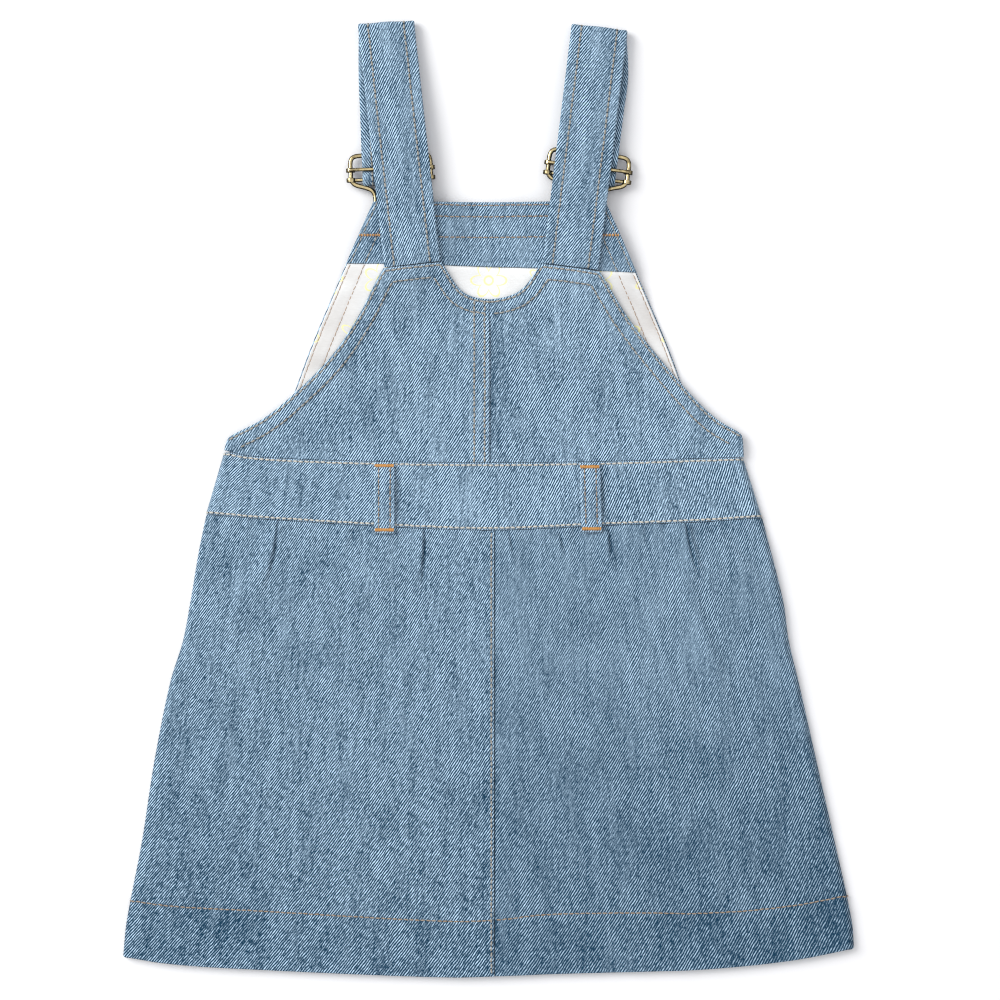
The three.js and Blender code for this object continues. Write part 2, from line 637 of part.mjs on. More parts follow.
function strapSolid(strap) {
  const stations = strapStations(strap);
  const across = evenly(STRAP.columns).map((share) => (share - 0.5) * STRAP.width);
  const middle = stations.map((station) => across.map((offset) => {
    const place = new THREE.Vector3(station.x, station.y, 0).addScaledVector(widthway(station.angle), offset);
    return place.setZ(station.height(place.x, place.y));
  }));
  const grid = middle.map((line, row) => line.map((place, column) => {
    const before = middle[Math.max(row - 1, 0)][column];
    const after = middle[Math.min(row + 1, middle.length - 1)][column];
    const run = after.clone().sub(before);
    const outward = widthway(stations[row].angle).cross(run).normalize();
    const side = (distance) => place.clone().addScaledVector(outward, distance).toArray();
    return { over: side(STRAP.thickness / 2), under: side(-STRAP.thickness / 2) };
  }));
  return wall(`shoulder_strap_${strap.side}`, grid, denim);
}

// Buckles and buttons

function frameGeometry() {
  const half = FRAME_HALF.map(([x, y]) => new THREE.Vector3(x, y, 0));
  const other = half.slice(0, -1).reverse().map(({ x, y }) => new THREE.Vector3(-x, y, 0));
  const path = new THREE.CatmullRomCurve3([...half, ...other], false, 'centripetal');
  const section = evenly(WIRE.sides).slice(1).map((share) => new THREE.Vector2(
    WIRE.radius * Math.cos(2 * Math.PI * share),
    WIRE.radius * Math.sin(2 * Math.PI * share),
  ));
  const options = { steps: WIRE.steps, extrudePath: path, bevelEnabled: false };
  return new THREE.ExtrudeGeometry(new THREE.Shape(section), options);
}

function toManifold(geometry) {
  const plain = geometry.clone();
  plain.deleteAttribute('normal');
  plain.deleteAttribute('uv');
  const merged = mergeVertices(plain, 1e-4);
  return new wasm.Manifold(new wasm.Mesh({
    numProp: 3,
    vertProperties: merged.attributes.position.array,
    triVerts: Uint32Array.from(merged.index.array),
  }));
}

function fromManifold(body) {
  const mesh = body.getMesh();
  const geometry = new THREE.BufferGeometry();
  geometry.setAttribute('position', new THREE.Float32BufferAttribute(mesh.vertProperties, 3));
  geometry.setIndex(Array.from(mesh.triVerts));
  return geometry;
}

// A bar is a round rod whose ends are curled into sleeves round the frame's side wires.
function barGeometry({ y, z, half }) {
  const rod = new THREE.CylinderGeometry(BAR_RADIUS, BAR_RADIUS, 2 * half, WIRE.sides);
  rod.rotateZ(Math.PI / 2).translate(0, y, z);
  const { inner, outer, half: reach, sides } = SLEEVE;
  const profile = [[inner, -reach], [outer, -reach], [outer, reach], [inner, reach], [inner, -reach]];
  let body = toManifold(rod);
  for (const direction of [-1, 1]) {
    const sleeve = new THREE.LatheGeometry(profile.map(([x, up]) => new THREE.Vector2(x, up)), sides);
    sleeve.translate(direction * FRAME_SIDE_X, y, WIRE.z);
    body = body.add(toManifold(sleeve));
  }
  return fromManifold(body);
}

function buttonGeometry() {
  const profile = BUTTON_PROFILE.map(([x, up]) => new THREE.Vector2(x, up));
  return new THREE.LatheGeometry(profile, BUTTON.sides).rotateX(Math.PI / 2).translate(0, BUTTON.y, 0);
}

function buckle(strap) {
  const group = new THREE.Group();
  const frame = solid(`buckle_frame_${strap.side}`, frameGeometry(), brass);
  frame.position.z = WIRE.z;
  group.add(frame);
  for (const bar of BARS) {
    group.add(solid(`buckle_${bar.name}_bar_${strap.side}`, barGeometry(bar), brass));
  }
  group.add(solid(`bib_button_${strap.side}`, buttonGeometry(), brass));
  group.position.set(strap.buckle.x, strap.buckle.y, 0);
  group.rotation.z = radians(strap.buckle.angle);
  return group;
}

// The dress

const dress = new THREE.Group();
dress.add(frontSkirt(), frontWaistband(), ...bib());
dress.add(bodiceHalf('back_bodice_left', BODICE_LEFT, -1), bodiceHalf('back_bodice_right', BODICE_RIGHT, 1));
dress.add(backWaistband(), backSkirt('back_skirt_left', -1), backSkirt('back_skirt_right', 1));
dress.add(...LOOPS.map(beltLoop));
for (const strap of STRAPS) {
  dress.add(strapSolid(strap), buckle(strap));
}

export default dress;
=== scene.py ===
"""A toddler's denim pinafore dress, laid flat on the floor with its back up.

Run as a script, it builds the cloth, sewing and metal of the dress round its packed model, and lights it.
Tables and sizes are in millimetres, in the model's frame: the origin is on the floor under the middle of
the dress, +X is to the right of someone looking down on its back, +Y runs towards the shoulder straps, and
+Z is up. Meshes are made in metres. "Left" and "right" are those of the same onlooker.
"""

import math

import bpy
import numpy as np
from mathutils import Matrix, Vector


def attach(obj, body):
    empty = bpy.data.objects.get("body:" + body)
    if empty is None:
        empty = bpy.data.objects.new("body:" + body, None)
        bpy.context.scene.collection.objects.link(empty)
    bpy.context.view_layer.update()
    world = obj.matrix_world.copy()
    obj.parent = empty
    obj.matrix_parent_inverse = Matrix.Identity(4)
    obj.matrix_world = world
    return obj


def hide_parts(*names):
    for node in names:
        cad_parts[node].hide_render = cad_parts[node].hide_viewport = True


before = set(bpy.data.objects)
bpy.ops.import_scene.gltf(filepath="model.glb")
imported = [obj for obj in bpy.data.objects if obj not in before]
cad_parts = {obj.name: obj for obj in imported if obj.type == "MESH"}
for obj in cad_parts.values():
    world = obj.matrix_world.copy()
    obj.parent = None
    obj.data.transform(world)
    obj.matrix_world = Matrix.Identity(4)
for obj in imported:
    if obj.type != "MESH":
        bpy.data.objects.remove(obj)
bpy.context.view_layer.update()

bl_info = {
    "name": "Denim Pinafore",
    "version": (1, 0, 0),
    "blender": (4, 5, 0),
    "location": "View3D > Sidebar > Pinafore",
    "description": "Builds a toddler's denim pinafore dress laid flat, piece by piece",
    "category": "Add Mesh",
}

MM = 0.001
BODY = "root"


def table(columns, *rows):
    """A short table with named columns, as a dictionary of arrays."""
    return {name: np.array(values, float) for name, values in zip(columns.split(), zip(*rows))}


# Cloth thicknesses and the heights of the layers

DENIM = 1.0
SEAM_GAP = 0.1
BAND_THICKNESS = 2.2
HEM_THICKNESS = 2.0
HEM_DEPTH = 29
SIDE_ROLL = 4.0
FRONT_INSET = 3.1
BAND_TOP = 5.0
SKIRT_TOP = {"waist": 4.2, "hip": 5.2, "middle": 4.9, "hem": 5.4}
HIP_DOWN = 25
MIDDLE_DOWN = (30, 110)
SKIRT_SEAM_RISE = {"height": 0.7, "width": 5}
FRONT_HEM_RISE = 1.2
FRONT_HEM_SHARE = 0.997
LAYER_GAP = 0.3
FACING_THICKNESS = 1.4
LINING_THICKNESS = 1.0
BODICE_UNDER = 3.1
BODICE_MARGIN = {"thickness": 2.0, "width": 8}
BODICE_SEAM = {"width": 9.4, "rise": 0.8}
EDGE_STEP = 1.2
BUMP = {"height": 5.6, "y": 143, "flat_radius": 16, "slope": 44}

# Plan outline of the tube of the dress

SIDES = table(
    "y left right",
    (25, -138.5, 133), (10, -143.5, 138), (-22, -151, 146.5), (-54, -156.5, 154.5), (-75, -160.5, 157.5),
    (-96, -167, 162.5), (-138, -175.5, 172), (-180, -182, 181.5), (-222, -190, 190.5), (-240, -191.8, 191.8),
)
WAIST = table(
    "x upper lower",
    (-147, 27.6, -8.5), (-130, 22.8, -10), (-110, 20.8, -11.5), (-60, 19.1, -14.5), (0, 18.4, -16.8),
    (60, 19.1, -14.3), (110, 20.6, -12.5), (142, 21.6, -10.3),
)
WAIST_CORNER = {"upper": 24, "lower": -10}
HEM = table(
    "x y",
    (-191.5, -240), (-172, -243.2), (-151, -245.2), (-120, -246.9), (-65, -249.4), (-20, -250.9), (3, -250.3),
    (38, -249), (80, -247.9), (110, -246.9), (142, -244.2), (164, -241.2), (184, -237.2), (191.5, -235.4),
)
HEM_CORNER_Y = -238
SKIRT_SEAM_X = 3.0
BODICE_SEAM_X = 0.6
SKIRT_LENGTH = 234

# Gathers and soft folds. x and y are where a fold starts, lean is its sideways run for each millimetre down,
# and left and right are how wide its flanks are. A trough has a height below 0.

BACK_FOLDS = table(
    "x y lean length height left right",
    (-110, -12.4, -0.255, 40, 1.7, 9, 2.2),
    (-34.7, -16.2, -0.04, 34, 1.6, 8, 2),
    (9.1, -18.3, 0.29, 20, 0.9, 4, 2),
    (34.3, -17.3, 0.33, 18, 0.7, 5, 3),
    (61.9, -16.2, 0.16, 24, 1.5, 7, 1.8),
    (103.6, -13.4, 0.23, 36, 1.6, 8, 2.2),
    (116.7, -17.3, 0.95, 30, 1.4, 7, 4),
    (-58, -50, -0.03, 85, -0.8, 9, 9),
    (102.5, -38, 0.31, 95, 1.2, 7, 4),
    (49.5, -62, 0.17, 60, 0.8, 8, 8),
    (69.8, -118, 0.24, 85, -0.9, 9, 9),
    (-116, -34, -0.58, 42, 1.0, 8, 8),
    (-85, -36, -0.1, 90, 0.6, 16, 16),
    (25, -36, 0.05, 130, 0.5, 14, 14),
)
FRONT_FOLDS = table(
    "x y lean length height left right",
    (-96, -14, -0.2, 60, 1.5, 7, 5),
    (-41, -17, -0.08, 46, 1.7, 6, 8),
    (18, -18, 0.06, 70, 1.3, 8, 6),
    (79, -16, 0.16, 52, 1.6, 5, 8),
)
FOLD_START = 0.06
FOLD_FADE = 0.45

# Sharp creases at the feet of the gathers. bend is how fast the lean changes, and width is half a crease's.

CREASES = table(
    "x y lean bend length depth width",
    (-110.2, -12.0, -0.05, -0.0035, 40, 1.3, 0.6),
    (-33.4, -16.4, -0.02, -0.0008, 34, 1.5, 0.6),
    (11.0, -18.0, 0.2, 0, 15, 0.7, 0.6),
    (37.0, -18.0, 0.32, 0, 15, 0.6, 0.6),
    (63.0, -17.0, 0.16, -0.004, 20, 1.2, 0.7),
    (103.6, -14.2, 0.14, 0.004, 34, 1.3, 0.6),
    (117.2, -17.0, 0.8, 0, 18, 0.4, 0.8),
    (-71, -16.0, -0.1, 0, 12, 0.3, 0.9),
    (82, -15.5, 0.12, 0, 12, 0.3, 0.9),
    (-128, -10.5, -0.4, 0, 14, 0.3, 0.9),
)
CREASE_FADE = 0.35
CREASE_LINES = (3.5, 0.3)

# Back bodice outlines: armholes and neck from top to bottom, tops from the outer end inwards

BODICES = {
    "left": {
        "direction": -1,
        "armhole": [
            (-55, 119.8), (-58.1, 114.5), (-69.2, 93.5), (-83.9, 72.5), (-105.4, 51.5), (-119, 41),
            (-134.6, 32.8), (-136.7, 30.8),
        ],
        "waist_x": -138.5,
        "top": [(-55, 119.8), (-47.3, 120.9), (-36, 122.2), (-24.6, 123.3)],
        "neck": [(-24.6, 123.3), (-18.6, 113.8), (-15.2, 109.4), (-11.4, 106.6), (-6.4, 104.9), (0.5, 104)],
    },
    "right": {
        "direction": 1,
        "armhole": [
            (57.9, 118.1), (60.5, 114.2), (73.6, 93.5), (89.9, 72.5), (108.3, 51.5), (119.8, 41),
            (130.6, 34.6), (132.6, 32.4),
        ],
        "waist_x": 133.6,
        "top": [(57.9, 118.1), (50, 119.4), (38, 121), (27.2, 122.2)],
        "neck": [(27.2, 122.2), (23.3, 116.5), (18.8, 110.7), (14, 107.2), (7.5, 105), (0.5, 104)],
    },
}
BODICE_TOP_SHARE = 0.5

# Front bib, its facing and its lining

BIB = table("y half", (20, 114.5), (77, 94.4), (123.5, 74.6), (155, 60.6))
BIB_CENTRE_X = 0.4
BIB_TOP_Y = 154.9
FACING_EDGE = table("x y", (-75, 122.7), (0, 121.2), (75, 118))
LINING_INSET = 0.7
LINING_SIDE_SHADE = 0.5

# Belt loops

LOOPS = {
    "left": {"top": (-54.5, 19), "bottom": (-54.5, -18.6)},
    "right": {"top": (52.9, 18.4), "bottom": (53.9, -18)},
}
LOOP = {"width": 10.9, "thickness": 1.4, "arch": 0.9}

# Shoulder straps: base is where a strap leaves the bodice, fold its outermost line, and buckle the place of
# the buckle's upper bar. Each is x, y and the angle of the strap's width.

STRAP_WIDTH = 29.5
STRAP_THICKNESS = 2.0
STRAP_OVER_BIB = 4.4
STRAP_FOLD_RADIUS = 2.2
BIB_TO_BACK_RUN = (150, 166)
STRAPS = {
    "left": {"base": (-39.8, 122.05, 6.8), "fold": (-53.7, 249.2, 3.4), "buckle": (-51.4, 172.3, 2.4)},
    "right": {"base": (42.7, 120.95, -7.2), "fold": (58.1, 246.6, -7), "buckle": (52.2, 173, -7.2)},
}
BACK_RUN = table("y z", (158, 10), (171, 9.6), (186, 9.3), (202, 8.6), (224, 7), (243, 5.5))
STRAP_END = table(
    "along z",
    (50, 1.2), (31, 3.6), (16, 4.6), (11, 6.3), (8.5, 6.65), (6.3, 6.6), (3.8, 5.7), (1.6, 4.4), (0, 4),
    (-1.2, 4.15), (-2.3, 4.9), (-3.3, 5.9), (-4.6, 6.5), (-5.8, 6.45), (-6.9, 5.7), (-7.5, 4.5), (-7.3, 3.2),
    (-6.4, 2.1), (-4.6, 1.6), (0, 1.4), (7, 1.3), (20, 1.2), (30, 1.2),
)

# Buckles and buttons, in the buckle's own frame: x across, y towards the fold, from the upper bar

WIRE_RADIUS = 1.2
WIRE_Z = 4.1
FRAME_HALF = [
    (0.2, 7.4), (9, 7.4), (17.4, 7.4), (19.9, 6.4), (20.9, 3.9), (20.9, -0.5), (20.7, -5.2), (18.8, -7.6),
    (13.6, -9.3), (10.2, -10.9), (8.8, -13.2), (8.5, -16.5), (8.9, -21), (8.2, -27), (5.6, -31), (4.5, -34.2),
    (4.5, -37), (3.2, -40.2), (0, -41.5),
]
FRAME_SIDE_X = 20.9
BAR_RADIUS = 0.95
BARS = {
    "upper": {"y": 0, "z": 6.55, "half": 21.6},
    "lower": {"y": -5.2, "z": WIRE_Z, "half": 19},
}
SLEEVE = {"inner": 1.35, "outer": 2.4, "half": 1.1}
BUTTON_Y = -36.9
BUTTON_HEAD = {"radius": 7.5, "thickness": 2.6, "rim": 0.6, "dish": 0.7}
BUTTON_SHANK = {"radius": 2.8, "height": 2.7}

# Grid steps

RIM_LINES = (0, 0.1, 0.3, 0.6, 1.0, 1.6)
SKIRT_STEP = 1.25
BODICE_CELLS = (150, 116)
BAND_STEP = 1.1
STRAP_STEP = 1.0
BIB_STEP = 3.0
LINING_STEP = 1.8
FACING_STEP = 1.1
FRONT_SKIRT_STEP = 4.0
LOOP_STEP = 0.6
ROLL_STEPS = 9
FOLD_STEPS = 20

# Rows of topstitching, as millimetres from the edge or seam that they follow

HEM_ROW = table(
    "x up",
    (-188, 30.2), (-120, 30.8), (-42, 29.8), (3, 29.5), (28, 31.2), (73, 31), (113, 29.5), (187, 28.5),
)
SKIRT_SEAM_ROW = 1.6
BAND_ROW = 1.2
BODICE_ROWS = (1.5, 7.6)
BODICE_SEAM_ROWS = (2.7, 8.1)
FACING_ROWS = (1.7, 7.7, 18.5)
FACING_ROW_REACH = 56
BIB_SIDE_ROWS = (2.3, 10)
STRAP_ROW = 9.5
LOOP_ROW = 3.0
GROOVE = {"depth": 0.22, "width": 0.8}

# Denim's twill: straight lines a pitch apart, at an angle from the weft

TWILL_PITCH = 1.13
TWILL_ANGLE = 58
YARN_PITCH = 0.36
GRAIN_SPREAD = 0.00093
GRAIN_MIDDLE_Y = -130

# Small sums


def mix(first, second, share):
    return first + (second - first) * share


def smooth(share):
    return share * share * (3 - 2 * share)


def ramp(start, end, value):
    """0 up to start, 1 from end, and smooth between."""
    return smooth(np.clip((value - start) / (end - start), 0, 1))


def read(rows, key, column, at):
    """A column of a table at any place of its key column, on a smooth curve through the rows."""
    keys, values = rows[key], rows[column]
    if keys[0] > keys[-1]:
        keys, values = keys[::-1], values[::-1]
    places = np.arange(len(keys))
    before, after = np.maximum(places - 1, 0), np.minimum(places + 1, len(keys) - 1)
    slopes = (values[after] - values[before]) / (keys[after] - keys[before])
    at = np.asarray(at, float)
    row = np.clip(np.searchsorted(keys, at) - 1, 0, len(keys) - 2)
    step = keys[row + 1] - keys[row]
    t = np.clip((at - keys[row]) / step, 0, 1)
    leave = t * (1 - t) ** 2 * step * slopes[row]
    arrive = t * t * (t - 1) * step * slopes[row + 1]
    return mix(values[row], values[row + 1], smooth(t)) + leave + arrive


def runs(points):
    """How far along a line of points each one lies."""
    steps = np.linalg.norm(np.diff(points, axis=0), axis=1)
    return np.concatenate([[0], np.cumsum(steps)])


def curve(points):
    """A smooth curve through a few plan points. Share 0 is its first point and share 1 its last."""
    points = np.array(points, float)
    run = runs(points)
    rows = {"run": run, "x": points[:, 0], "y": points[:, 1]}

    def at(share):
        return tuple(read(rows, "run", axis, np.asarray(share) * run[-1]) for axis in "xy")

    return at


def distance_to(line, x, y, steps=80):
    """Distance in plan from points to a curve, taken as short straight steps."""
    xs, ys = line(np.linspace(0, 1, steps + 1))
    x, y = np.asarray(x, float), np.asarray(y, float)
    nearest = np.full(x.shape, np.inf)
    for x0, y0, x1, y1 in zip(xs[:-1], ys[:-1], xs[1:], ys[1:]):
        dx, dy = x1 - x0, y1 - y0
        t = np.clip(((x - x0) * dx + (y - y0) * dy) / (dx * dx + dy * dy), 0, 1)
        nearest = np.minimum(nearest, np.hypot(x - x0 - t * dx, y - y0 - t * dy))
    return nearest


LATTICE = 64


def noise(x, y, size, seed):
    """Smooth uneven values from -1 to 1 in bumps of a given width and length, the same on every run."""
    lattice = np.random.default_rng(seed).uniform(-1, 1, (LATTICE, LATTICE))
    u, v = np.asarray(x, float) / size[0], np.asarray(y, float) / size[1]
    i, j = np.floor(u).astype(int), np.floor(v).astype(int)
    s, t = smooth(u - i), smooth(v - j)

    def corner(right, up):
        return lattice[(i + right) % LATTICE, (j + up) % LATTICE]

    near = mix(corner(0, 0), corner(1, 0), s)
    far = mix(corner(0, 1), corner(1, 1), s)
    return mix(near, far, t)


def puckers(along, away, pitch, reach, height, seed):
    """Short wrinkles across a seam, where its stitches draw the cloth in. away is the way from the seam."""
    return height * noise(along, away, (pitch, 2.2 * reach), seed) * np.exp(-((away / reach) ** 2))


def groove(away):
    """How far a row of stitches sinks into the cloth."""
    return -GROOVE["depth"] * np.exp(-((away / GROOVE["width"]) ** 2))


# The tube of the dress


def side_at(y, direction):
    return read(SIDES, "y", "left" if direction < 0 else "right", y)


def waist_upper(x):
    return read(WAIST, "x", "upper", x)


def waist_lower(x):
    return read(WAIST, "x", "lower", x)


def hem_edge(x):
    return read(HEM, "x", "y", x)


def hem_share(up):
    return 1 - ramp(HEM_DEPTH - 1, HEM_DEPTH + 2, up)


def skirt_plan(across, down, inset):
    """Plan place from -1 at the left side to 1 at the right, and from 0 at the waistband to 1 at the hem."""

    def x_at(y):
        side = np.where(across < 0, side_at(y, -1) + inset, side_at(y, 1) - inset)
        return mix(SKIRT_SEAM_X, side, np.abs(across))

    top = waist_lower(x_at(WAIST_CORNER["lower"])) - SEAM_GAP
    bottom = hem_edge(x_at(HEM_CORNER_Y))
    y = mix(top, bottom, down)
    return x_at(y), y


def fold_height(folds, x, y):
    height = np.zeros(np.shape(x))
    for row in zip(*folds.values()):
        fold = dict(zip(folds, row))
        share = (fold["y"] - y) / fold["length"]
        offset = x - (fold["x"] + fold["lean"] * (fold["y"] - y))
        flank = np.where(offset < 0, fold["left"], fold["right"])
        strength = ramp(0, FOLD_START, share) * (1 - ramp(FOLD_FADE, 1, share))
        height += fold["height"] * strength * np.exp(-((offset / flank) ** 2))
    return height


def crease_depth(x, y):
    depth = np.zeros(np.shape(x))
    for row in zip(*CREASES.values()):
        crease = dict(zip(CREASES, row))
        down = crease["y"] - y
        share = down / crease["length"]
        offset = x - (crease["x"] + crease["lean"] * down + crease["bend"] * down**2)
        strength = ramp(-0.05, 0.02, share) * (1 - ramp(CREASE_FADE, 1, share))
        width = crease["width"] * (1 + 1.2 * np.clip(share, 0, 1))
        depth += crease["depth"] * strength * np.exp(-((offset / width) ** 2))
    return depth


def skirt_relief(x, y):
    """The back skirt's small wrinkles: at the gathers, seams and hem, and over the whole panel."""
    down, up = waist_lower(x) - y, y - hem_edge(x)
    side = np.where(x < SKIRT_SEAM_X, x - side_at(y, -1), side_at(y, 1) - x)
    seam = x - SKIRT_SEAM_X
    fanned = x / (1 + 0.0025 * down)
    gathers = puckers(fanned, down, 4.6, 15, 0.5, 11) + puckers(fanned, down, 9, 30, 0.45, 12)
    at_seam = puckers(y, np.abs(seam), 5.5, 6, 0.34, 13)
    at_side = puckers(y, side, 8, 9, 0.45, 14)
    at_hem_row = puckers(x, up - HEM_DEPTH, 6.5, 7, 0.24, 15)
    at_edge = puckers(x, up, 9, 6, 0.2, 16)
    roping = 0.16 * noise(x + 0.7 * up, up, (7, 30), 17) * hem_share(up)
    broad = 0.5 * noise(x, y, (46, 74), 18) + 0.2 * noise(x + 0.15 * y, y, (15, 34), 19)
    calm = ramp(0, 20, down) * ramp(0, 20, up)
    return gathers + at_seam + at_side + at_hem_row + at_edge + roping + broad * calm


def hem_row_y(x):
    return hem_edge(x) + read(HEM_ROW, "x", "up", x)


def back_skirt_top(x, y):
    """Top of the back skirt: it swells under the waistband, sinks a little, and rises at the hem."""
    down, up = waist_lower(x) - y, y - hem_edge(x)
    swell = mix(SKIRT_TOP["waist"], SKIRT_TOP["hip"], ramp(0, HIP_DOWN, down))
    body = mix(swell, SKIRT_TOP["middle"], ramp(*MIDDLE_DOWN, down))
    lap = np.exp(-(((x - SKIRT_SEAM_X) / SKIRT_SEAM_RISE["width"]) ** 2)) * SKIRT_SEAM_RISE["height"]
    seam = np.where(x < SKIRT_SEAM_X, lap, 0)
    level = mix(body, SKIRT_TOP["hem"], hem_share(up)) + seam
    rows = groove(y - hem_row_y(x)) + np.where(x < SKIRT_SEAM_X, groove(x - SKIRT_SEAM_X + SKIRT_SEAM_ROW), 0)
    return level + fold_height(BACK_FOLDS, x, y) - crease_depth(x, y) + skirt_relief(x, y) + rows


def band_top(x, y):
    """Top of the back waistband, drawn in a little by the rows along its edges."""
    up, down = waist_upper(x) - y, y - waist_lower(x)
    drawn = puckers(x, down - BAND_ROW, 4.2, 4, 0.2, 21) + puckers(x, up - BAND_ROW, 5.1, 4, 0.18, 22)
    broad = 0.16 * noise(x, y, (13, 22), 23) + 0.14 * noise(x, y, (34, 30), 24)
    return BAND_TOP + drawn + broad + groove(down - BAND_ROW) + groove(up - BAND_ROW)


# The bib, and what lies over it


def turned(angle):
    """Unit steps across and along a strap whose width is at an angle."""
    turn = math.radians(angle)
    return np.array([math.cos(turn), math.sin(turn)]), np.array([-math.sin(turn), math.cos(turn)])


def buckle_to_plan(strap, across, along):
    x, y, angle = strap["buckle"]
    sideways, forward = turned(angle)
    return np.array([x, y]) + across * sideways + along * forward


def bump(x, y):
    """Height of the bump that the buckles and buttons make under the bib."""
    height = 0
    for strap in STRAPS.values():
        button_x = buckle_to_plan(strap, 0, BUTTON_Y)[0]
        away = np.hypot(x - button_x, y - BUMP["y"])
        height = height + 1 - ramp(BUMP["flat_radius"], BUMP["flat_radius"] + BUMP["slope"], away)
    return BUMP["height"] * height


def bib_half(y):
    return read(BIB, "y", "half", y)


def bib_side(x, y):
    """The way in from the nearer side edge of the bib."""
    return bib_half(y) - np.abs(x - BIB_CENTRE_X)


def facing_top(x, y):
    down = BIB_TOP_Y - y
    rows = sum(groove(down - row) for row in FACING_ROWS) + sum(groove(bib_side(x, y) - r) for r in BIB_SIDE_ROWS)
    drawn = sum(puckers(x, down - row, 4.8, 3.4, 0.16, 31 + i) for i, row in enumerate(FACING_ROWS))
    broad = 0.2 * noise(x, y, (18, 20), 34)
    return bump(x, y) + DENIM + LAYER_GAP + FACING_THICKNESS + rows + drawn + broad


def lining_top(x, y):
    side = bib_side(x, y)
    rows = sum(groove(side - row) for row in BIB_SIDE_ROWS)
    drawn = puckers(y, side - BIB_SIDE_ROWS[1], 7, 9, 0.25, 41) + puckers(y, side - BIB_SIDE_ROWS[0], 5, 4, 0.2, 42)
    broad = 0.35 * noise(x, y, (14, 18), 43) + 0.15 * noise(x + y, y - x, (9, 13), 44)
    return bump(x, y) + DENIM + LAYER_GAP + LINING_THICKNESS + rows + drawn + broad


class Bodice:
    """One half of the back bodice: its edges, its plan places and its heights."""

    def __init__(self, side):
        shape = BODICES[side]
        self.direction = shape["direction"]
        corner = shape["waist_x"]
        self.seam_x = BODICE_SEAM_X + self.direction * SEAM_GAP / 2
        self.corner = corner
        self.armhole = curve(shape["armhole"] + [(corner, float(waist_upper(corner)) + SEAM_GAP)])
        ends = np.array(shape["armhole"][-3:-1])
        self.sewn_armhole = curve(shape["armhole"][:-1] + [tuple(ends[1] + 0.5 * (ends[1] - ends[0]))])
        self.top = curve(shape["top"])
        self.neck = curve(shape["neck"])

    def upper_edge(self, across):
        share = np.asarray(across, float)
        top = np.stack(self.top(np.minimum(share / BODICE_TOP_SHARE, 1)))
        neck = np.stack(self.neck(np.maximum(share - BODICE_TOP_SHARE, 0) / (1 - BODICE_TOP_SHARE)))
        return np.where(share < BODICE_TOP_SHARE, top, neck)

    def lower_edge(self, across):
        x = mix(self.corner, self.seam_x, np.asarray(across, float))
        return np.stack([x, waist_upper(x) + SEAM_GAP])

    def seam_edge(self, down):
        down = np.asarray(down, float)
        ends = self.upper_edge(1)[1], self.lower_edge(1)[1]
        return np.stack([np.full(down.shape, self.seam_x), mix(*ends, down)])

    def place(self, across, down):
        """Plan place from 0 at the armhole to 1 at the centre seam, and from 0 at the top to 1 at the waist."""
        outer = np.stack(self.armhole(down))
        ends = [self.upper_edge(0), self.upper_edge(1), self.lower_edge(0), self.lower_edge(1)]
        corners = [end.reshape(2, 1, 1) for end in ends]
        flat = mix(mix(corners[0], corners[1], across), mix(corners[2], corners[3], across), down)
        along = mix(self.upper_edge(across), self.lower_edge(across), down)
        return along + mix(outer, self.seam_edge(down), across) - flat

    def edge(self, x, y):
        """The way in from the nearest sewn edge."""
        lines = (self.sewn_armhole, self.top, self.neck)
        return np.minimum.reduce([distance_to(line, x, y) for line in lines])

    def thickness(self, x, y, edge):
        margin_width = BODICE_MARGIN["width"]
        margin = 1 - ramp(margin_width - EDGE_STEP, margin_width + EDGE_STEP, edge)
        seam = 1 - ramp(BODICE_SEAM["width"] - EDGE_STEP, BODICE_SEAM["width"] + EDGE_STEP, self.seam_x - x)
        felled = seam if self.direction < 0 else 0
        return DENIM + np.maximum((BODICE_MARGIN["thickness"] - DENIM) * margin, BODICE_SEAM["rise"] * felled)

    def height(self, x, y, edge=None):
        edge = self.edge(x, y) if edge is None else edge
        seam = np.abs(x - self.seam_x)
        up = y - waist_upper(x)
        rows = sum(groove(edge - row) for row in BODICE_ROWS)
        if self.direction < 0:
            rows = rows + sum(groove(seam - row) for row in BODICE_SEAM_ROWS)
        seed = 50 + self.direction
        drawn = puckers(x + y, edge - BODICE_ROWS[1], 4.4, 5, 0.24, seed)
        at_seam = puckers(y, seam, 5, 6, 0.2, seed + 3)
        at_waist = puckers(x, up, 7, 8, 0.25, seed + 6)
        broad = 0.3 * noise(x, y, (30, 40), seed + 9) + 0.14 * noise(x, y, (12, 16), seed + 12)
        level = BODICE_UNDER + bump(x, y) + self.thickness(x, y, edge)
        return level + rows + drawn + at_seam + at_waist + broad


BODICE_HALVES = {side: Bodice(side) for side in BODICES}


def loop_top(loop, x, y):
    down = (loop["top"][1] - y) / (loop["top"][1] - loop["bottom"][1])
    level = np.maximum(BAND_TOP, back_skirt_top(x, np.minimum(y, waist_lower(x))))
    return level + LAYER_GAP + LOOP["arch"] * np.sin(math.pi * np.clip(down, 0, 1)) + LOOP["thickness"]


# Meshes


def grid_lines(length, step, fine=(), fine_step=0.5):
    """Places of grid lines over a length: close at both rims and inside the fine stretches, even elsewhere."""
    places, at = [], RIM_LINES[-1]
    while at < length - RIM_LINES[-1]:
        places.append(at)
        near = any(start <= at <= end for start, end in fine)
        at += fine_step if near else step
    rims = list(RIM_LINES[:-1])
    return np.array(rims + places + [length - rim for rim in reversed(RIM_LINES)])


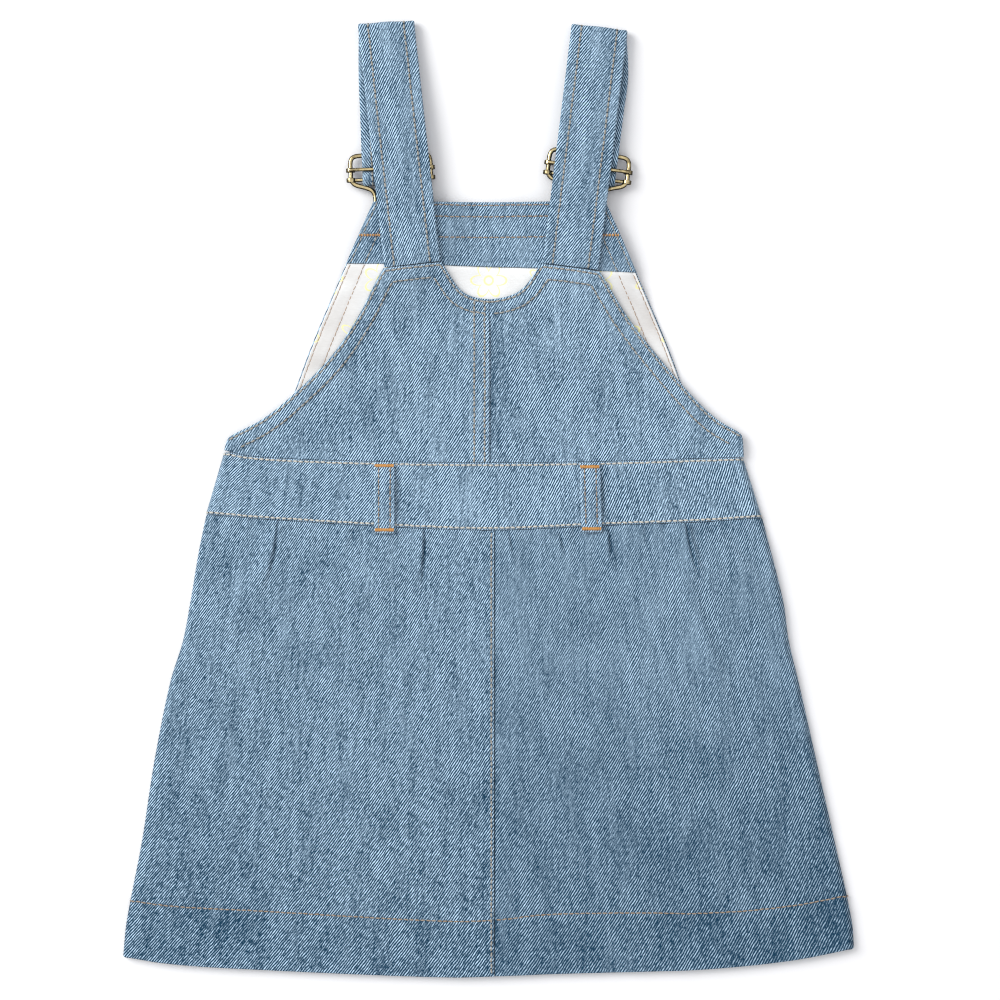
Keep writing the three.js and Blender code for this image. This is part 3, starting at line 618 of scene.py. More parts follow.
def rim_distance(points, sides):
    """The way in from the named rims of a grid of points: first or last row, first or last column."""
    along = np.linalg.norm(np.diff(points, axis=0), axis=2)
    down = np.concatenate([np.zeros((1, points.shape[1])), np.cumsum(along, axis=0)])
    along = np.linalg.norm(np.diff(points, axis=1), axis=2)
    right = np.concatenate([np.zeros((points.shape[0], 1)), np.cumsum(along, axis=1)], axis=1)
    ways = {
        "first_row": down,
        "last_row": down[-1:] - down,
        "first_column": right,
        "last_column": right[:, -1:] - right,
    }
    return np.minimum.reduce([ways[side] for side in sides])


RIM_LEAST = 0.15


def round_rims(over, under, sides):
    """Rounds the rims of a wall, which is given by its over side and its under side."""
    middle, half = (over + under) / 2, (over - under) / 2
    radius = np.linalg.norm(half, axis=2)
    share = np.clip(rim_distance(middle, sides) / radius, 0, 1)
    full = np.maximum(np.sqrt(1 - (1 - share) ** 2), RIM_LEAST)[..., None]
    return middle + half * full, middle - half * full


def wall_faces(rows, columns):
    """Four-sided faces of a closed wall: its over side, its under side and the rim between them."""
    corner = np.arange(rows * columns).reshape(rows, columns)
    over = np.stack([corner[:-1, :-1], corner[:-1, 1:], corner[1:, 1:], corner[1:, :-1]], -1).reshape(-1, 4)
    under = over[:, ::-1] + rows * columns
    ring = np.concatenate([corner[0, :-1], corner[:-1, -1], corner[-1, :0:-1], corner[:0:-1, 0]])
    after = np.roll(ring, -1)
    rim = np.stack([after, ring, ring + rows * columns, after + rows * columns], -1)
    return np.concatenate([over, under, rim])


def signed_volume(points, faces):
    a, b, c, d = (points[faces[:, i]] for i in range(4))
    return np.sum(np.cross(b - a, c - a) * a + np.cross(c - a, d - a) * a)


def new_mesh(name, points, faces):
    """A smooth mesh object of points in metres, with its faces pointing out."""
    if signed_volume(points, faces) < 0:
        faces = faces[:, ::-1]
    mesh = bpy.data.meshes.new(name)
    mesh.vertices.add(len(points))
    mesh.vertices.foreach_set("co", points.astype(np.float32).ravel())
    mesh.loops.add(faces.size)
    mesh.loops.foreach_set("vertex_index", faces.astype(np.int32).ravel())
    mesh.polygons.add(len(faces))
    mesh.polygons.foreach_set("loop_start", np.arange(0, faces.size, faces.shape[1], dtype=np.int32))
    mesh.polygons.foreach_set("use_smooth", np.ones(len(faces), bool))
    mesh.update(calc_edges=True)
    mesh.validate()
    made = bpy.data.objects.new(name, mesh)
    bpy.context.scene.collection.objects.link(made)
    return made


def set_attributes(piece, grain, wear_and_shade):
    """Stores where each point lies on the cut cloth, in millimetres, and its share of wear and of painted light and
    shade.
    """
    places = piece.data.attributes.new("grain", "FLOAT_VECTOR", "POINT")
    places.data.foreach_set("vector", grain.astype(np.float32).ravel())
    worn_and_shaded = piece.data.attributes.new("wear_and_shade", "FLOAT", "POINT")
    worn_and_shaded.data.foreach_set("value", wear_and_shade.astype(np.float32).ravel())


def finish_piece(piece, material, slot, *nodes):
    piece.data.materials.append(material)
    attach(piece, BODY)
    if nodes:
        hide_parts(*nodes)
    return piece


def cloth_wall(name, over, under, rims, grain, wear_and_shade, material, slot="denim"):
    """A piece of cloth that stands for the node of the same name, as a thin closed wall with round rims."""
    over, under = round_rims(over, under, rims)
    rows, columns = over.shape[:2]
    points = np.concatenate([over.reshape(-1, 3), under.reshape(-1, 3)]) * MM
    piece = new_mesh(name + "_cloth", points, wall_faces(rows, columns))
    flat = np.stack([*grain, np.zeros(grain[0].shape)], -1).reshape(-1, 3)
    set_attributes(piece, np.tile(flat, (2, 1)), np.tile(wear_and_shade.ravel(), 2))
    finish_piece(piece, material, slot, name)
    return piece


def heights(x, y, top, thickness):
    """Over and under sides of a wall that lies as heights above the plan."""
    over = np.stack([x, y, top], -1)
    under = np.stack([x, y, top - thickness], -1)
    return over, under


ALL_RIMS = ("first_row", "last_row", "first_column", "last_column")

def worn_and_shaded(relief, high, edge=None, edge_width=1.6):
    """Wear and painted light and shade from 0 to 1, about 0.5 on plain cloth: higher on ridges, which is partly wear
    and partly painted light, and at edges, which is wear; lower in troughs, which is painted shade.
    """
    share = 0.5 + relief / (2 * high)
    if edge is not None:
        share = share + 0.3 * np.exp(-((edge / edge_width) ** 2))
    return np.clip(share, -0.8, 1)


def back_skirt(side, material):
    """A back skirt panel, from the centre seam to the side, where it rolls down to the floor."""
    direction = -1 if side == "left" else 1
    width = abs(float(side_at(-10, direction)) - SKIRT_SEAM_X) - SIDE_ROLL
    reach, fine_step = CREASE_LINES
    middles = [direction * (x - SKIRT_SEAM_X) for x in CREASES["x"] if direction * (x - SKIRT_SEAM_X) > 0]
    fine = [(0, 5)] + [(middle - reach, middle + reach) for middle in middles]
    columns = grid_lines(width, SKIRT_STEP, fine, fine_step)[:-5] / width
    rows = grid_lines(SKIRT_LENGTH, SKIRT_STEP, [(0, 6), (201, 208)]) / SKIRT_LENGTH
    columns[-1] = 1
    across, down = np.meshgrid(direction * np.maximum(columns, 1e-9), rows)
    x, y = skirt_plan(across, down, SIDE_ROLL)
    x[:, 0] += direction * SEAM_GAP / 2
    top = back_skirt_top(x, y)
    thickness = mix(DENIM, HEM_THICKNESS, hem_share(y - hem_edge(x)))
    over, under = heights(x, y, top, thickness)
    turn = np.linspace(0, math.pi / 2, ROLL_STEPS + 1)[1:]
    sine, cosine = np.sin(turn)[None], np.cos(turn)[None]

    def roll(radius, rise):
        roll_x = x[:, -1:] + direction * radius * sine
        roll_y = np.repeat(y[:, -1:], ROLL_STEPS, axis=1)
        return np.stack([roll_x, roll_y, np.maximum(rise * cosine, 0)], -1)

    depth = thickness[:, -1:]
    over = np.concatenate([over, roll(SIDE_ROLL, top[:, -1:])], axis=1)
    under = np.concatenate([under, roll(SIDE_ROLL - depth, top[:, -1:] - depth)], axis=1)
    x, y = over[..., 0], over[..., 1]
    # Painted light and shade from the panel's shape: raised wrinkles and folds lighter, partly as worn denim is and
    # partly as painted light; creases darker as painted shade.
    relief = 0.6 * skirt_relief(x, y) + 0.15 * fold_height(BACK_FOLDS, x, y) - 1.6 * crease_depth(x, y)
    # Painted shadow on the lower panel along the edge of the lapped centre seam.
    relief = relief - 1.6 * np.exp(-((x - SKIRT_SEAM_X) / 0.9) ** 2) * (x > SKIRT_SEAM_X)
    # Darker towards the hem, towards the right side and at the far left.
    relief = relief - 0.45 * hem_share(y - hem_edge(x)) - 0.7 * ramp(-60, -200, y) - 0.5 * ramp(60, 150, x)
    relief = relief - 0.2 * ramp(-100, -150, x)
    allowance = ramp(1.2, 2.2, SKIRT_SEAM_X - x) * (1 - ramp(5.5, 7, SKIRT_SEAM_X - x))
    relief = relief - 0.4 * allowance
    edge = np.minimum(y - hem_edge(x), np.abs(x - SKIRT_SEAM_X) + 0.8)
    grain = (x * (1 + GRAIN_SPREAD * (y - GRAIN_MIDDLE_Y)), y)
    name = "back_skirt_" + side
    rims = ("first_row", "last_row", "first_column")
    return cloth_wall(name, over, under, rims, grain, worn_and_shaded(relief, 1.3, edge), material)


def front_skirt(material):
    half = FRONT_SKIRT_STEP / 190
    across, down = np.meshgrid(np.arange(-1, 1 + half / 2, half), np.linspace(0, FRONT_HEM_SHARE, 60))
    x, y = skirt_plan(across, down, FRONT_INSET)
    rise = FRONT_HEM_RISE * hem_share(y - hem_edge(x))
    top = DENIM + rise + fold_height(FRONT_FOLDS, x, y)
    over, under = heights(x, y, top, top)
    return cloth_wall("front_skirt", over, under, ALL_RIMS, (x, y), np.full(x.shape, 0.5), material)


def band_plan(across, up, inset):
    def x_at(y):
        return np.where(across < 0, -side_at(y, -1) - inset, side_at(y, 1) - inset) * across

    low, high = x_at(WAIST_CORNER["lower"]), x_at(WAIST_CORNER["upper"])
    return mix(low, high, up), mix(waist_lower(low), waist_upper(high), up)


def waistband(name, inset, level, material, rolls):
    """A waistband. At the back it rolls down to the floor at both sides."""
    depth = waist_upper(0) - waist_lower(0)
    up = grid_lines(depth, BAND_STEP, [(0, 2.6), (depth - 2.6, depth)]) / depth
    across = np.linspace(-1, 1, int(290 / BAND_STEP))
    across, up = np.meshgrid(across, up)
    x, y = band_plan(across, up, inset)
    top = level(x, y)
    over, under = heights(x, y, top, BAND_THICKNESS)
    relief = top - np.mean(top)
    if rolls:
        turn = np.linspace(0, math.pi / 2, ROLL_STEPS + 1)[1:]
        sine, cosine = np.sin(turn)[None], np.cos(turn)[None]
        for column, direction in ((0, -1), (-1, 1)):
            def roll(radius, rise):
                roll_x = x[:, [column]] + direction * radius * sine
                roll_y = np.repeat(y[:, [column]], ROLL_STEPS, axis=1)
                return np.stack([roll_x, roll_y, np.maximum(rise * cosine, 0)], -1)

            edge = top[:, [column]]
            turned_over = roll(SIDE_ROLL, edge)
            turned_under = roll(SIDE_ROLL - BAND_THICKNESS, edge - BAND_THICKNESS)
            if direction < 0:
                over = np.concatenate([turned_over[:, ::-1], over], axis=1)
                under = np.concatenate([turned_under[:, ::-1], under], axis=1)
            else:
                over = np.concatenate([over, turned_over], axis=1)
                under = np.concatenate([under, turned_under], axis=1)
        relief = np.pad(relief, ((0, 0), (ROLL_STEPS, ROLL_STEPS)), mode="edge")
    rims = ("first_row", "last_row") if rolls else ALL_RIMS
    edge = rim_distance(over, ("first_row", "last_row"))
    middle = over[len(over) // 2]
    along = np.repeat(runs(middle)[None], len(over), axis=0)
    grain = (along, rim_distance(over, ("first_row",)))
    return cloth_wall(name, over, under, rims, grain, worn_and_shaded(relief, 0.6, edge), material)


def bib_plan(across, up, inset):
    """Plan place from -1 to 1 across. up is 0 at the waistband, 1 at the facing's edge and 2 at the top."""

    def x_at(y):
        return BIB_CENTRE_X + across * (bib_half(y) - inset)

    edge = read(FACING_EDGE, "x", "y", x_at(FACING_EDGE["y"][1]))
    bottom = waist_upper(x_at(BIB["y"][0])) + SEAM_GAP
    y = np.where(up < 1, mix(bottom, edge, up), mix(edge, BIB_TOP_Y, up - 1))
    return x_at(y), y


def bib_layer(name, up, step, inset, level, thickness, material, slot="denim"):
    """A layer of the bib over a stretch of it, with its top at the given height."""
    width = 2 * float(bib_half(60 if up[0] < 1 else 140))
    across = 2 * grid_lines(width, step, [(0, 10), (width - 10, width)], max(step / 2, 0.6)) / width - 1
    x, y = bib_plan(*np.meshgrid(across, up), inset)
    top = level(x, y)
    over, under = heights(x, y, top, thickness)
    relief = top - bump(x, y)
    edge = rim_distance(over, ALL_RIMS)
    wear_and_shade = worn_and_shaded(relief - np.mean(relief), 0.7, edge)
    if slot == "lining":
        wear_and_shade = wear_and_shade - LINING_SIDE_SHADE * (1 - ramp(5, 42, bib_side(x, y)))
    return cloth_wall(name, over, under, ALL_RIMS, (x, y), wear_and_shade, material, slot)


def bodice_half(side, material):
    half = BODICE_HALVES[side]
    rims = np.array([0, 0.0008, 0.0025, 0.005, 0.0085, 0.013])
    ends = [rims[:-1], np.linspace(rims[-1], 1 - rims[-1], BODICE_CELLS[0]), 1 - rims[-2::-1]]
    across = np.concatenate(ends)
    ends = [rims[:-1], np.linspace(rims[-1], 1 - rims[-1], BODICE_CELLS[1]), 1 - rims[-2::-1]]
    across, down = np.meshgrid(across, np.concatenate(ends))
    x, y = half.place(across, down)
    edge = half.edge(x, y)
    top = half.height(x, y, edge)
    thickness = top - BODICE_UNDER - bump(x, y)
    over, under = heights(x, y, top, thickness)
    relief = top - bump(x, y) - BODICE_UNDER - half.thickness(x, y, edge)
    tilt = math.radians(1.5 * half.direction)
    grain = (x * math.cos(tilt) + y * math.sin(tilt), y * math.cos(tilt) - x * math.sin(tilt))
    wear_and_shade = worn_and_shaded(relief, 0.7, np.minimum(edge, np.abs(x - half.seam_x) + 0.6))
    return cloth_wall("back_bodice_" + side, over, under, ALL_RIMS, grain, wear_and_shade, material)


def belt_loop(side, material):
    loop = LOOPS[side]
    length = loop["top"][1] - loop["bottom"][1]
    down = grid_lines(length, LOOP_STEP) / length
    across = grid_lines(LOOP["width"], LOOP_STEP) - LOOP["width"] / 2
    across, down = np.meshgrid(across, down)
    x = mix(loop["top"][0], loop["bottom"][0], down) + across
    y = mix(loop["top"][1], loop["bottom"][1], down)
    relief = groove(np.abs(across) - LOOP_ROW) + 0.12 * noise(x, y, (4, 6), 61)
    over, under = heights(x, y, loop_top(loop, x, y) + relief, LOOP["thickness"])
    edge = rim_distance(over, ALL_RIMS)
    wear_and_shade = worn_and_shaded(relief, 0.5, edge)
    return cloth_wall("belt_loop_" + side, over, under, ALL_RIMS, (across, y), wear_and_shade, material)


# Straps


def over_bib_height(x, y):
    leave = ramp(*BIB_TO_BACK_RUN, y)
    return mix(bump(x, y) + STRAP_OVER_BIB, read(BACK_RUN, "y", "z", y), leave)


def strap_stations(strap):
    """Middle line of a strap: x, y, width angle and height. The height is nan where the strap follows the bib."""
    base, fold = np.array(strap["base"], float), np.array(strap["fold"], float)
    outer = STRAP_FOLD_RADIUS + STRAP_THICKNESS / 2
    forward = turned(fold[2])[1]
    axis = np.array([*(fold[:2] - outer * forward), fold[2]])
    length = np.hypot(*(axis - base)[:2])
    shares = grid_lines(length, STRAP_STEP)[:-6, None] / length
    back = np.concatenate([mix(base, axis, shares), np.full((len(shares), 1), np.nan)], axis=1)
    turn = np.linspace(0, math.pi, FOLD_STEPS + 1)[:, None]
    turn_xy = axis[:2] + STRAP_FOLD_RADIUS * np.sin(turn) * forward
    turn_z = outer + STRAP_FOLD_RADIUS * np.cos(turn)
    turn = np.concatenate([turn_xy, np.full(turn_z.shape, fold[2]), turn_z], axis=1)
    end = [
        [*buckle_to_plan(strap, 0, along), strap["buckle"][2], z]
        for along, z in zip(STRAP_END["along"], STRAP_END["z"])
    ]
    marks = np.array([turn[-1], *end])
    run = runs(marks[:, [0, 1, 3]])
    rows = {"run": run, **{name: marks[:, i] for i, name in enumerate(("x", "y", "angle", "z"))}}
    at = np.linspace(0, run[-1], int(run[-1] / STRAP_STEP))[1:]
    end = np.stack([read(rows, "run", name, at) for name in ("x", "y", "angle", "z")], -1)
    return np.concatenate([back, turn, end])


def strap_profile(offset, along, seed):
    """How far the strap's outer side stands out: puffed between its rows, and wrinkled where they draw it in."""
    away = np.abs(offset) - STRAP_ROW
    puff = 0.22 * np.cos(math.pi * np.clip(offset / (2 * STRAP_ROW), -0.5, 0.5))
    drawn = puckers(along, away, 4.2, 3.4, 0.2, seed) + puckers(along, np.abs(offset) - 14, 5, 2, 0.12, seed + 1)
    return puff + groove(away) + drawn + 0.14 * noise(offset, along, (8, 13), seed + 2)


def strap_sides(side):
    """Grids of points on the outer and inner side of a strap, and its across and along places."""
    stations = strap_stations(STRAPS[side])
    offsets = grid_lines(STRAP_WIDTH, STRAP_STEP, [(3.6, 6.8), (22.7, 25.9)], 0.55) - STRAP_WIDTH / 2
    angle = np.radians(stations[:, 2])[:, None]
    x = stations[:, :1] + np.cos(angle) * offsets
    y = stations[:, 1:2] + np.sin(angle) * offsets
    z = np.where(np.isnan(stations[:, 3:]), over_bib_height(x, y), stations[:, 3:])
    middle = np.stack([x, y, z], -1)
    run = np.gradient(middle, axis=0)
    widthway = np.stack([np.cos(angle), np.sin(angle), np.zeros(angle.shape)], -1)
    outward = np.cross(np.broadcast_to(widthway, run.shape), run)
    outward /= np.linalg.norm(outward, axis=2, keepdims=True)
    along = runs(middle[:, middle.shape[1] // 2])
    seed = 70 if side == "left" else 75
    offset, along = np.meshgrid(offsets, along)
    stand = strap_profile(offset, along, seed)[..., None]
    half = STRAP_THICKNESS / 2
    over = middle + outward * (half + np.clip(stand, -0.5, 0.3))
    under = middle - outward * (half + 0.5 * np.clip(strap_profile(offset, along, seed + 9), -0.5, 0.2)[..., None])
    over[..., 2] = np.maximum(over[..., 2], 0)
    return over, under, offset, along


def strap(side, material):
    over, under, offset, along = strap_sides(side)
    edge = STRAP_WIDTH / 2 - np.abs(offset)
    wear_and_shade = worn_and_shaded(strap_profile(offset, along, 70) - 0.1, 0.6, edge)
    return cloth_wall("shoulder_strap_" + side, over, under, ALL_RIMS[1:], (offset, along), wear_and_shade, material)


# Sewing


def stitch_shape(length, width, height, sides=6, rings=5):
    """Points and faces of one stitch: a round thread along X that dips into the cloth at both ends."""
    share = np.linspace(-1, 1, rings)
    swell = np.array([0.55, 0.95, 1.0, 0.95, 0.55])
    turn = np.linspace(0, 2 * math.pi, sides, endpoint=False)
    x = np.repeat(share * length / 2, sides)
    y = np.outer(swell, np.cos(turn)).ravel() * width / 2
    z = np.outer(swell, np.sin(turn)).ravel() * height / 2
    z += np.repeat(height * (0.3 - 0.45 * share**4), sides)
    corner = np.arange(rings * sides).reshape(rings, sides)
    after = np.roll(corner, -1, axis=1)
    tube = np.stack([corner[:-1], corner[1:], after[1:], after[:-1]], -1).reshape(-1, 4)
    start, end = corner[0], corner[-1][::-1]
    caps = [[ring[0], ring[1], ring[2], ring[3]] for ring in (start, end)]
    caps += [[ring[3], ring[4], ring[5], ring[0]] for ring in (start, end)]
    return np.stack([x, y, z], -1), np.concatenate([tube, np.array(caps)])


def sew(rows, pitch, length, width, height, seed, jitter=0.05):
    """Points, faces and thread places of stitches along rows. A row is points and the cloth's normals."""
    shape, faces = stitch_shape(length, width, height)
    dice = np.random.default_rng(seed)
    places, threads = [], []
    for points, normals in rows:
        run = runs(points)
        centres = np.arange(pitch / 2, run[-1], pitch)
        centres = centres + dice.uniform(-jitter, jitter, len(centres)) * pitch

        def at(values, where):
            return np.stack([np.interp(where, run, values[:, i]) for i in range(3)], -1)

        middle = at(points, centres)
        ahead = at(points, centres + length / 2) - at(points, centres - length / 2)
        ahead /= np.linalg.norm(ahead, axis=1, keepdims=True)
        up = at(normals, centres)
        sideways = np.cross(up, ahead)
        sideways /= np.linalg.norm(sideways, axis=1, keepdims=True)
        ahead = ahead + sideways * dice.normal(0, 0.07, (len(centres), 1))
        up = np.cross(ahead, sideways)
        shift = dice.normal(0, 0.05, (len(centres), 1)) * sideways
        axes = np.stack([ahead, sideways, up], 1)
        places.append((middle + shift)[:, None] + shape @ axes)
        thread = np.zeros((len(centres), len(shape), 3))
        thread[..., 0] = shape[:, 0] / length
        thread[..., 1] = np.arctan2(shape[:, 2], shape[:, 1])
        thread[..., 2] = centres[:, None]
        threads.append(thread)
    places, threads = np.concatenate(places), np.concatenate(threads)
    step = np.arange(len(places))[:, None, None] * len(shape)
    return places.reshape(-1, 3), (faces[None] + step).reshape(-1, 4), threads.reshape(-1, 3)


def row_on(height, x, y):
    """A row of stitches over a surface that is given by its height in plan."""
    x, y = np.asarray(x, float), np.asarray(y, float)
    points = np.stack([x, y, height(x, y)], -1)
    small = 0.4
    slope_x = (height(x + small, y) - height(x - small, y)) / (2 * small)
    slope_y = (height(x, y + small) - height(x, y - small)) / (2 * small)
    normals = np.stack([-slope_x, -slope_y, np.ones(x.shape)], -1)
    return points, normals / np.linalg.norm(normals, axis=1, keepdims=True)


def stitching(name, rows, material, settings, seed, thinner=1.0):
    """Rows of stitches as one piece. No stitch goes below the floor."""
    shape = (settings.pitch, settings.length, settings.width * thinner, settings.height * thinner)
    points, faces, threads = sew(rows, *(value / MM for value in shape), seed)
    points[:, 2] = np.maximum(points[:, 2], 0)
    piece = new_mesh(name, points * MM, faces)
    set_attributes(piece, threads, np.full(len(points), 0.5))
    return finish_piece(piece, material, "thread")


def over_the_sides(row, ends=(0, -1)):
    """A row carried on over the side rolls past its ends."""
    points, normals = row
    turn = np.radians(np.arange(12, 73, 12))
    for end in ends:
        x, y, z = points[end]
        sideways = math.copysign(1, x) * np.sin(turn)
        more = np.stack([x + SIDE_ROLL * sideways, np.full(turn.shape, y), z * np.cos(turn)], -1)
        up = np.stack([sideways, np.zeros(turn.shape), np.cos(turn)], -1)
        if end == 0:
            points, normals = np.concatenate([more[::-1], points]), np.concatenate([up[::-1], normals])
        else:
            points, normals = np.concatenate([points, more]), np.concatenate([normals, up])
    return points, normals


def hem_rows():
    rows = []
    for direction in (-1, 1):
        end = float(side_at(-211, direction)) - direction * SIDE_ROLL
        x = np.linspace(SKIRT_SEAM_X + direction * 0.9, end, 400)
        rows.append(over_the_sides(row_on(back_skirt_top, x, hem_row_y(x)), ends=(-1,)))
    return rows


def skirt_seam_rows():
    y = np.linspace(float(waist_lower(SKIRT_SEAM_X)) - 1, float(hem_edge(SKIRT_SEAM_X)) + 1, 400)
    return [row_on(back_skirt_top, np.full(y.shape, SKIRT_SEAM_X - SKIRT_SEAM_ROW), y)]


def band_rows():
    across = np.linspace(-1, 1, 500)
    rows = []
    depth = float(waist_upper(0) - waist_lower(0))
    for up in (BAND_ROW / depth, 1 - BAND_ROW / depth):
        x, y = band_plan(across, np.full(across.shape, up), SIDE_ROLL)
        rows.append(over_the_sides(row_on(band_top, x, y)))
    return rows


def inset_row(line, others, inset, inward):
    """The part of a curve's inset copy that keeps the same way from the other curves."""
    share = np.linspace(0, 1, 300)
    x, y = line(share)
    run = np.gradient(np.stack([x, y], -1), axis=0)
    run /= np.linalg.norm(run, axis=1, keepdims=True)
    x, y = x - inward * run[:, 1] * inset, y + inward * run[:, 0] * inset
    keep = np.minimum.reduce([distance_to(other, x, y) for other in others]) >= inset - 0.05
    return x[keep], y[keep]


def bodice_rows(side):
    half = BODICE_HALVES[side]
    lines = [half.sewn_armhole, half.top, half.neck]
    inward = -half.direction
    rows = []
    for inset in BODICE_ROWS:
        for line in lines:
            way = inward if line is half.sewn_armhole else half.direction
            x, y = inset_row(line, [other for other in lines if other is not line], inset, way)
            keep = (y > waist_upper(x) + 0.6) & (half.direction * (x - half.seam_x) > 0.3)
            keep &= (distance_to(half.armhole, x, y) > inset - 0.3) & (np.abs(x) < abs(half.corner) - 1.4)
            if keep.sum() > 4:
                rows.append(row_on(half.height, x[keep], y[keep]))
    if side == "left":
        for away in BODICE_SEAM_ROWS:
            y = np.linspace(103.5, float(waist_upper(0)) + 0.8, 200)
            rows.append(row_on(half.height, np.full(y.shape, half.seam_x - away), y))
    return rows


def facing_rows():
    rows = []
    for down in FACING_ROWS:
        y = BIB_TOP_Y - down
        x = BIB_CENTRE_X + np.linspace(-FACING_ROW_REACH, FACING_ROW_REACH, 300)
        rows.append(row_on(facing_top, x, np.full(x.shape, y)))
    return rows


def bib_side_rows(level, low=None, high=None):
    """Rows beside both edges of the bib, from a height or the facing's edge up to the other."""
    rows = []
    for direction in (-1, 1):
        for inset in BIB_SIDE_ROWS:
            edge = float(read(FACING_EDGE, "x", "y", direction * 70))
            y = np.linspace(low or edge + 0.4, high or edge - 0.4, 200)
            x = BIB_CENTRE_X + direction * (bib_half(y) - inset)
            rows.append(row_on(level, x, y))
    return rows


def strap_rows(side):
    over, under, offset, along = strap_sides(side)
    rows = []
    for grid, face, first in ((over, 1, 0), (under, -1, 150)):
        for place in (-STRAP_ROW, STRAP_ROW):
            column = int(np.argmin(np.abs(offset[0] - place)))
            points = grid[first:, column]
            run = np.gradient(points, axis=0)
            across = grid[first:, column + 1] - grid[first:, column - 1]
            normals = np.cross(across, run) * face
            rows.append((points, normals / np.linalg.norm(normals, axis=1, keepdims=True)))
    return rows


def loop_rows(side):
    loop = LOOPS[side]
    down = np.linspace(0.08, 0.92, 80)
    rows = []
    for offset in (-LOOP_ROW, LOOP_ROW):
        x = mix(loop["top"][0], loop["bottom"][0], down) + offset
        y = mix(loop["top"][1], loop["bottom"][1], down)
        rows.append(row_on(lambda px, py: loop_top(loop, px, py) + groove(0), x, y))
    return rows


TACK = {"width": 9.8, "length": 1.9, "pitch": 0.48, "inset": 2.0, "side_length": 1.5, "side_pitch": 0.8}
SIDE_TACKS = {"y": 137.3, "left": (-67.2, -56), "right": (59.8, 68.4)}


def loop_tack_rows():
    """Bar tacks over both ends of each belt loop, as many short rows side by side."""
    rows = []
    for loop in LOOPS.values():
        for end, inward in (("top", -1), ("bottom", 1)):
            x, y = loop[end]
            for place in np.arange(-TACK["width"] / 2, TACK["width"] / 2, TACK["pitch"]):
                ys = y + inward * TACK["inset"] + np.linspace(-0.5, 0.5, 5) * TACK["length"]
                rows.append(row_on(lambda px, py: loop_top(loop, px, py), np.full(5, x + place), ys))
    return rows


def side_tack_rows():
    """Narrow bar tacks at the ends of the facing's lowest row."""
    rows = []
    for side in ("left", "right"):
        for x in np.arange(*SIDE_TACKS[side], TACK["side_pitch"]):
            ys = SIDE_TACKS["y"] + np.linspace(-0.5, 0.5, 5) * TACK["side_length"]
            rows.append(row_on(facing_top, np.full(5, x), ys))
    return rows


# Buckles


def deselect():
    if bpy.context.object and bpy.context.object.mode != "OBJECT":
        bpy.ops.object.mode_set(mode="OBJECT")
    bpy.ops.object.select_all(action="DESELECT")


def select_only(piece):
    deselect()
    piece.select_set(True)
    bpy.context.view_layer.objects.active = piece


def buckle_matrix(side):
    x, y, angle = STRAPS[side]["buckle"]
    return Matrix.Translation((x * MM, y * MM, 0)) @ Matrix.Rotation(math.radians(angle), 4, "Z")


def settle(piece, side):
    """Puts a buckle part's place into its mesh, from the buckle's own frame."""
    piece.data.transform(buckle_matrix(side) @ piece.matrix_world)
    piece.matrix_world = Matrix.Identity(4)
    piece.data.polygons.foreach_set("use_smooth", [True] * len(piece.data.polygons))
    return piece


def buckle_frame(side, material):
    """The frame is one bent wire, made as a round path and turned into a mesh."""
    deselect()
    bpy.ops.curve.primitive_nurbs_path_add(location=(0, 0, 0))
    wire = bpy.context.object
    half = np.array(FRAME_HALF)
    other = half[-2::-1] * (-1, 1)
    path = np.concatenate([half, other])
    wire.data.splines.clear()
    spline = wire.data.splines.new("POLY")
    run = runs(path)
    rows = {"run": run, "x": path[:, 0], "y": path[:, 1]}
    at = np.linspace(0, run[-1], 150)
    x, y = read(rows, "run", "x", at), read(rows, "run", "y", at)
    spline.points.add(len(at) - 1)
    flat = np.stack([x * MM, y * MM, np.full(len(at), WIRE_Z * MM), np.ones(len(at))], -1)
    spline.points.foreach_set("co", flat.ravel())
    wire.data.bevel_depth = WIRE_RADIUS * MM
    wire.data.bevel_resolution = 4
    wire.data.use_fill_caps = True
    select_only(wire)
    bpy.ops.object.convert(target="MESH")
    frame_piece = bpy.context.object
    frame_piece.name = "buckle_frame_" + side + "_wire"
    settle(frame_piece, side)
    return finish_piece(frame_piece, material, "brass", "buckle_frame_" + side)


def rounded(piece, width, angle=40):
    """Rounds the sharp edges of a piece."""
    bevel = piece.modifiers.new("Round edges", "BEVEL")
    bevel.width = width * MM
    bevel.segments = 3
    bevel.limit_method = "ANGLE"
    bevel.angle_limit = math.radians(angle)
    select_only(piece)
    bpy.ops.object.modifier_apply(modifier=bevel.name)


